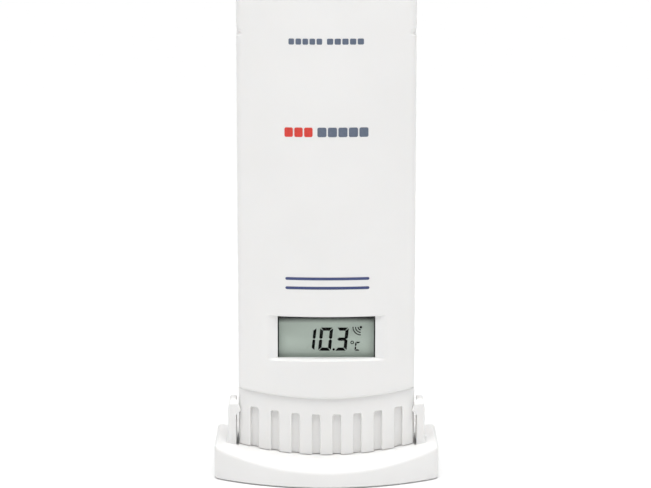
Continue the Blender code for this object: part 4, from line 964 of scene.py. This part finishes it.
def holder_arm(side):
    """One springy arm, as two faces over its side view: the outer one flares into the base, and the
    inner one carries the hook on its front corner."""
    holder = bpy.context.scene.sensor_holder
    inner_at = COVER_HIGH[0] + 0.5 * MM
    outer_at = inner_at + holder.arm_thickness
    front, back = -5.4 * MM, -5.4 * MM + holder.arm_depth
    root, foot, top = SEAT_HEIGHT + 1.0 * MM, SEAT_HEIGHT + 1.9 * MM, STAND_HIGH[2]
    soft = 0.4 * MM
    insets = edge_insets(soft, 5)
    hook_back = HOOK_BACK_Y
    stops = places([front + soft, hook_back, hook_back + 0.08 * MM, back - soft], 0.3 * MM)[1:-1]
    y = np.concatenate([front + insets[::-1], stops, back - insets])
    end = corner_drop(np.maximum(y - (front + back) / 2, 0), holder.arm_depth / 2, 1 * MM)
    crest = top - quarter_slope(holder.arm_chamfer - (y - front), 0.5 * MM) - end
    flat = 0 * y
    rows = [(flat + root, 0), (flat + foot, 2), (flat + foot + 1.6 * MM, 10), (flat + NUB_HEIGHT - 1.1 * MM, 6)]
    rows += [(flat + NUB_HEIGHT - 0.15 * MM, 6), (flat + NUB_HEIGHT + 0.15 * MM, 2)]
    rows += [(crest - soft, 3)] + rounded_end(crest, soft, 5)
    z = layers(rows)
    y = np.broadcast_to(y, z.shape)
    edge = np.minimum(np.minimum(y - front, back - y), crest - z)
    rounding = quarter_round(np.maximum(edge, 0), soft)
    reach = 1.5 * MM
    flare = quarter_round(np.clip(z - foot, 0, reach), reach)
    taper = np.interp(z, [top - 1.9 * MM, top - 0.25 * MM, top], [0, 0.3 * MM, 0.4 * MM])
    out_x = outer_at + flare - taper - rounding
    tip = SKIRT_HIGH[0] - 0.35 * MM
    heights = [NUB_HEIGHT - 1.1 * MM, NUB_HEIGHT - 0.15 * MM, NUB_HEIGHT + 0.15 * MM, top]
    hook = np.interp(z, heights, [inner_at, tip, tip, inner_at - 0.15 * MM])
    share = np.interp(y, [hook_back, hook_back + 0.08 * MM], [1, 0])
    hook = inner_at + (hook - inner_at) * share
    in_x = hook + 0.45 * rounding
    return points(side * out_x, y, z), points(side * in_x, y, z), None


class SENSOR_OT_holder(bpy.types.Operator):
    """The holder: its arched base and its two snap arms."""

    bl_idname = "sensor.holder"
    bl_label = "Holder"

    def execute(self, context):
        sheets = [*holder_base(), holder_arm(-1), holder_arm(1)]
        solid("holder_body", sheets, finishes()["white_plastic"], "stand", ["stand"])
        return {"FINISHED"}


# ================================================================ display and print
def arc_band(centre, inner, outer, start, end, y, count=24):
    """A flat ring, or part of one, a hair proud of the glass."""
    angle = np.linspace(start, end, count)
    radius = np.array([inner, outer])[:, None]
    x, z = centre[0] + radius * np.cos(angle), centre[1] + radius * np.sin(angle)
    return points(x, y - 0.03 * MM, z), points(x, y, z), None


SEGMENTS = {"0": "abcdef", "1": "bc", "3": "abcdg", "C": "adef"}


def segment_plan(name, width, height, line):
    """One segment's two long edges: mitred where it meets a corner, pointed where it meets the middle."""
    gap, cut, half, middle = 0.045 * MM, 0.22 * line, line / 2, height / 2
    if name == "g":
        edge = [(half + gap, 0.1 * half), (line + gap, half)]
        edge += [(width - x, z) for x, z in reversed(edge)]
        return [[(x, middle + sign * z) for x, z in edge] for sign in (1, -1)]
    up = 1 if name in "abf" else -1
    end = height if up > 0 else 0.0
    if name in "ad":
        outer = [(cut + gap, end), (width - cut - gap, end)]
        return [outer, [(line + gap, end - up * line), (width - line - gap, end - up * line)]]
    out, turn = (width, -1) if name in "bc" else (0.0, 1)
    shoulder, point = middle + up * (0.7 * half + gap), middle + up * gap
    outer = [(out, end - up * (cut + gap)), (out, shoulder), (out + turn * 0.9 * half, point)]
    inner = [(out + turn * line, end - up * (line + gap)), (out + turn * line, shoulder),
             (out + turn * 1.1 * half, point)]
    return [outer, inner]


def digit(letter, left, low, width, height, line, y, slant=0.1):
    """The lit segments of one seven-segment figure, leaning to the right, a hair proud of the glass."""
    sheets = []
    for name in SEGMENTS[letter]:
        plan = np.array(segment_plan(name, width, height, line))
        x, z = left + plan[..., 0] + slant * (plan[..., 1] - height / 2), low + plan[..., 1]
        sheets.append((points(x, y - 0.03 * MM, z), points(x, y, z), None))
    return sheets


class SENSOR_OT_display(bpy.types.Operator):
    """The figures on the display: a temperature, its unit and a signal sign."""

    bl_idname = "sensor.display"
    bl_label = "Display figures"

    def execute(self, context):
        y, turn = GLASS_LOW[1], 2 * math.pi
        low, height, line = 26.84 * MM, 5.06 * MM, 0.68 * MM
        sheets = digit("1", -4.95 * MM, low, 2.6 * MM, height, line * 0.9, y)
        sheets += digit("0", -1.55 * MM, low, 2.75 * MM, height, line, y)
        sheets += digit("3", 1.95 * MM, low, 2.6 * MM, height, line, y)
        sheets += digit("C", 6.1 * MM, low, 1.15 * MM, 1.95 * MM, 0.3 * MM, y)
        point, degree, source = (1.55 * MM, low + 0.28 * MM), (5.5 * MM, 28.65 * MM), (7.36 * MM, 31.98 * MM)
        dot, wave_half = 0.27 * MM, 0.11 * MM
        sheets.append(arc_band(point, 0.0, dot, 0, turn, y))
        sheets.append(arc_band(degree, 0.2 * MM, 0.38 * MM, 0, turn, y))
        sheets.append(arc_band(source, 0.0, dot, 0, turn, y))
        for reach in (0.58 * MM, 1.13 * MM, 1.68 * MM):
            sheets.append(arc_band(source, reach - wave_half, reach + wave_half, 0.49 * turn, 0.75 * turn, y))
        # The dark frame is painted shadow: it stands for the shadow gap round the display opening.
        solid("display_shadow_frame", self.mask(y), finishes()["black_plastic"], "case")
        solid("display_figures", sheets, finishes()["segment"], "case")
        return {"FINISHED"}

    def mask(self, y):
        """A dark frame on the glass round the figures, painted shadow standing for the shadow gap round the sunken
        display: two bars across and one at each side.
        """
        half, bottom, top = 12.9 * MM, 23.6 * MM, 36.4 * MM
        open_half, open_low, open_high = 10.15 * MM, 25.46 * MM, 33.95 * MM
        front = y - 0.02 * MM
        plan = ((-half, half, open_high, top), (-half, half, bottom, open_low),
                (-half, -open_half, open_low, open_high), (open_half, half, open_low, open_high))
        return [bar((left, front, low), (right, y, high)) for left, right, low, high in plan]


def printed_bar(x, z, rounding, thickness=0.02 * MM):
    """A round-ended printed bar that follows the bowed front: its height narrows to a half circle at each end."""
    case = bpy.context.scene.sensor_case
    middle, half = (x[0] + x[1]) / 2, (x[1] - x[0]) / 2
    ends = half - rounding + rounding * np.sin(np.linspace(0, math.pi / 2 * 0.98, 9))
    across = mirrored(np.unique(np.concatenate([[0], places([0, half - rounding], 0.5 * MM), ends])))
    reach = (z[1] - z[0]) / 2 - corner_drop(across, half, rounding)
    rise = np.linspace(-1, 1, 5)[:, None] * reach
    xs = middle + across + 0 * rise
    y = FRONT_Y + bow(xs, case.bow_radius)
    zs = (z[0] + z[1]) / 2 + rise
    return points(xs, y - thickness, zs), points(xs, y + thickness, zs), None


def bars(rows):
    """Printed bars. A row is (left, right, low, high, end radius, count) in millimetres, cut into count
    equal blocks with a narrow gap between them."""
    made = []
    for left, right, low, high, radius, count in rows:
        gap = 0.3
        pitch = (right - left + gap) / count
        for start in left + pitch * np.arange(count):
            span = (start * MM, (start + pitch - gap) * MM)
            made.append(printed_bar(span, (low * MM, high * MM), radius * MM))
    return made


class SENSOR_OT_print(bpy.types.Operator):
    """Plain printed bars on the front cover, with no letters in them."""

    bl_idname = "sensor.print"
    bl_label = "Printed bars"

    def execute(self, context):
        for name, ink, rows in (
            ("print_upper", "ink_cool", [(-7.9, -0.9, 92.75, 94.0, 0.25, 5), (0.1, 7.8, 92.75, 94.0, 0.25, 5)]),
            ("print_middle_left", "ink_warm", [(-8.8, -2.9, 73.4, 75.4, 0.35, 3)]),
            ("print_middle_right", "ink_cool", [(-1.9, 8.8, 73.4, 75.4, 0.35, 5)]),
            ("print_lower", "ink_deep", [(-8.7, 9.1, 42.9, 43.5, 0.3, 1), (-8.7, 9.1, 40.9, 41.5, 0.3, 1)]),
        ):
            solid(name, bars(rows), finishes()[ink], "case")
        return {"FINISHED"}


# ================================================================ inside pieces
def middle_of(low, high, second):
    """The middle of a box across X and across a second axis."""
    return (low[0] + high[0]) / 2, (low[second] + high[second]) / 2


def pan_head(name):
    """Profile of a pan-head screw from its box: a domed head with a round socket, and thread rings."""
    low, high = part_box(name)
    head = (high[0] - low[0]) / 2
    deep, shank = (1.3 * MM, 1.2 * MM) if head > 2 * MM else (0.9 * MM, 0.8 * MM)
    seat = high[1] - deep
    turns = np.arange(low[1] + 1.3 * MM, seat - 0.5 * MM, 0.4 * MM)
    thread = [(shank * (0.82 if i % 2 else 1.0), float(t)) for i, t in enumerate(turns)]
    profile = [(1e-6, low[1]), (0.3 * shank, low[1] + 0.1 * MM), *thread, (shank * 0.85, seat), (head * 0.97, seat)]
    dome = [(head * math.cos(t), seat + deep * (0.35 + 0.65 * math.sin(t))) for t in np.linspace(0.05, 1.45, 8)]
    socket = [(0.38 * head, high[1] - 0.02 * deep), (0.3 * head, high[1] - 0.55 * deep), (1e-6, high[1] - 0.6 * deep)]
    return profile + dome + socket, middle_of(low, high, 2)


class SENSOR_OT_hardware(bpy.types.Operator):
    """The turned pieces: the cells, the screws and the button."""

    bl_idname = "sensor.hardware"
    bl_label = "Hardware"

    def execute(self, context):
        looks = finishes()
        for name, up in (("battery_left", True), ("battery_right", False)):
            self.cell(name, up, looks)
        for node in sorted(frame["nodes"]):
            if "_screw_" in node:
                profile, middle = pan_head(node)
                lathe(node + "_turned", profile, middle, "y", looks["nickel_steel"], "case", [node], 32)
        self.button(looks)
        return {"FINISHED"}

    def cell(self, name, up, looks):
        """A cell with rounded rims and a positive nub, at its top or, where it stands on its head, its foot."""
        low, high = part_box(name)
        radius, tall = (high[0] - low[0]) / 2, high[2] - low[2]
        body = tall - 1.4 * MM
        soft, turns = 0.5 * MM, np.linspace(0, 1.57, 6)
        rim = [(radius - soft + soft * math.sin(t), soft - soft * math.cos(t)) for t in turns]
        jacket = [(1e-6, 0.12 * MM), (radius - 1.6 * MM, 0.12 * MM), (radius - 1.4 * MM, 0.0), *rim]
        jacket += [(r, body - h) for r, h in reversed(rim)]
        jacket += [(radius - 1.4 * MM, body), (radius - 1.6 * MM, body - 0.25 * MM), (2.9 * MM, body - 0.25 * MM)]
        nub = [(2.75 * MM, body), (2.75 * MM, tall - 0.3 * MM), (2.5 * MM, tall), (1e-6, tall)]
        profile = jacket + nub
        if not up:
            profile = [(r, tall - h) for r, h in reversed(profile)]
        profile = [(r, low[2] + h) for r, h in profile]
        lathe(name + "_cell", profile, middle_of(low, high, 1), "z", looks["cell_jacket"],
              "case", [name])

    def button(self, looks):
        """The transmit button: a stem, a flange that keeps it in, and a softly dished cap."""
        low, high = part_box("transmit_button")
        flange, soft = 7.8 * MM, 0.4 * MM
        profile = [
            (1e-6, low[1]), (1.4 * MM, low[1]), (1.4 * MM, flange - 0.8 * MM), (3.1 * MM, flange - 0.8 * MM),
            (3.1 * MM, flange), (2.2 * MM, flange), (2.2 * MM, high[1] - soft),
        ]
        turns = np.linspace(0.2, 1.57, 6)
        profile += [(1.8 * MM + soft * math.cos(t), high[1] - soft + soft * math.sin(t)) for t in turns]
        profile += [(1.0 * MM, high[1] - 0.08 * MM), (1e-6, high[1] - 0.14 * MM)]
        lathe("transmit_button_cap", profile, middle_of(low, high, 2), "y", looks["grey_button"],
              "transmit_button", ["transmit_button"])


class SENSOR_OT_finishes(bpy.types.Operator):
    """Gives every remaining solid of the frame the finish of its slot."""

    bl_idname = "sensor.finishes"
    bl_label = "Finishes"

    def execute(self, context):
        looks = finishes()
        for part in frame["record"]["subparts"]:
            mesh = frame["nodes"][part["node"]].data
            mesh.materials.clear()
            mesh.materials.append(looks[part["material_slot"]])
        return {"FINISHED"}


# ================================================================ stage
FLOOR_REACH, FLOOR_HEIGHT = 6.0, -0.2 * MM
LAMP_SIZE, LAMP_POWER, LAMP_SPREAD = 0.14, 0.037, math.radians(70)
LAMP_AIM = Vector((0, 0, 0.06))
SKY_POWER, SKY_STRENGTH = 2.5, 2.55


def stage_finish():
    """Matte white paper."""
    made, tree, shader = new_finish("stage_paper")
    fibre = noise(tree, 90, 3.0)
    cloudy_colour(tree, shader, fibre, (0.9, 0.9, 0.9), (0.92, 0.92, 0.92))
    set_values(shader, Roughness=0.9, Specular_IOR_Level=0.2)
    return made


class SENSOR_OT_stage(bpy.types.Operator):
    """A white paper floor, a white sky, two softboxes and the camera."""

    bl_idname = "sensor.stage"
    bl_label = "Stage"

    def execute(self, context):
        self.floor()
        self.lights()
        self.camera(context)
        return {"FINISHED"}

    def floor(self):
        """A flat paper floor all round the object."""
        stops = np.linspace(-FLOOR_REACH, FLOOR_REACH, 9)
        x, y = np.meshgrid(stops, stops)
        grid = points(x, y, FLOOR_HEIGHT)
        mesh = bpy.data.meshes.new("paper_floor")
        mesh.from_pydata(grid.reshape(-1, 3).tolist(), [], grid_quads(*x.shape).reshape(-1, 4).tolist())
        mesh.materials.append(stage_finish())
        floor = bpy.data.objects.new("paper_floor", mesh)
        bpy.context.scene.collection.objects.link(floor)

    def lights(self):
        """The sky, and a small softbox above each front corner."""
        self.sky()
        for name, side in (("softbox_left", -1), ("softbox_right", 1)):
            data = bpy.data.lights.new(name, "AREA")
            data.shape, data.size, data.energy, data.spread = "SQUARE", LAMP_SIZE, LAMP_POWER, LAMP_SPREAD
            lamp = bpy.data.objects.new(name, data)
            lamp.location = (side * 0.13, -0.17, 0.34)
            lamp.rotation_euler = (LAMP_AIM - lamp.location).to_track_quat("-Z", "Y").to_euler()
            bpy.context.scene.collection.objects.link(lamp)

    def sky(self):
        """A plain white sky, dark at the sides and bright overhead: its strength is a power of the height."""
        world = bpy.data.worlds.new("studio")
        world.use_nodes = True
        tree = world.node_tree
        place = tree.nodes.new("ShaderNodeTexCoord")
        split = tree.nodes.new("ShaderNodeSeparateXYZ")
        tree.links.new(place.outputs["Generated"], split.inputs["Vector"])
        height = remap(tree, split.outputs["Z"], 0.0, 1.0, (0.0, 1.0))
        power = tree.nodes.new("ShaderNodeMath")
        power.operation = "POWER"
        tree.links.new(height, power.inputs[0])
        power.inputs[1].default_value = SKY_POWER
        strength = remap(tree, power.outputs[0], 0.0, SKY_STRENGTH, (0.0, 1.0))
        tree.links.new(strength, tree.nodes["Background"].inputs["Strength"])
        tree.nodes["Background"].inputs["Color"].default_value = (1, 1, 1, 1)
        bpy.context.scene.world = world

    def camera(self, context):
        """Looks 10 degrees down from half a metre, with a long lens."""
        data = bpy.data.cameras.new("camera")
        data.sensor_width = 36
        data.lens = 128.8
        data.clip_start = 0.01
        camera = bpy.data.objects.new("camera", data)
        camera.location = (-0.0002, -0.4920, 0.1360)
        camera.rotation_euler = (math.radians(80), 0, 0)
        context.scene.collection.objects.link(camera)
        context.scene.camera = camera
        context.scene.view_settings.view_transform = "Standard"


# ================================================================ add-on
class SENSOR_PT_panel(bpy.types.Panel):
    """Lists the sensor's steps and settings in the sidebar."""

    bl_idname = "SENSOR_PT_panel"
    bl_label = "Outdoor Sensor"
    bl_space_type = "VIEW_3D"
    bl_region_type = "UI"
    bl_category = "Sensor"

    def draw(self, context):
        for step in STEPS:
            self.layout.operator(step.bl_idname)
        for settings in ("sensor_case", "sensor_holder", "sensor_finish"):
            group = getattr(context.scene, settings)
            box = self.layout.box()
            for name in group.__annotations__:
                box.prop(group, name)


STEPS = (
    SENSOR_OT_finishes,
    SENSOR_OT_front_cover,
    SENSOR_OT_vent_skirt,
    SENSOR_OT_rear_shell,
    SENSOR_OT_battery_door,
    SENSOR_OT_holder,
    SENSOR_OT_display,
    SENSOR_OT_print,
    SENSOR_OT_hardware,
    SENSOR_OT_stage,
)
GROUPS = {"sensor_case": CaseSettings, "sensor_holder": HolderSettings, "sensor_finish": FinishSettings}


def register():
    for group in GROUPS.values():
        bpy.utils.register_class(group)
    for step in (*STEPS, SENSOR_PT_panel):
        bpy.utils.register_class(step)
    for name, group in GROUPS.items():
        setattr(bpy.types.Scene, name, bpy.props.PointerProperty(type=group))


def unregister():
    for name in GROUPS:
        delattr(bpy.types.Scene, name)
    for step in (SENSOR_PT_panel, *reversed(STEPS)):
        bpy.utils.unregister_class(step)
    for group in GROUPS.values():
        bpy.utils.unregister_class(group)


def main():
    register()
    for step in STEPS:
        family, name = step.bl_idname.split(".")
        getattr(getattr(bpy.ops, family), name)()
    bpy.context.view_layer.update()


if __name__ == "__main__":
    main()
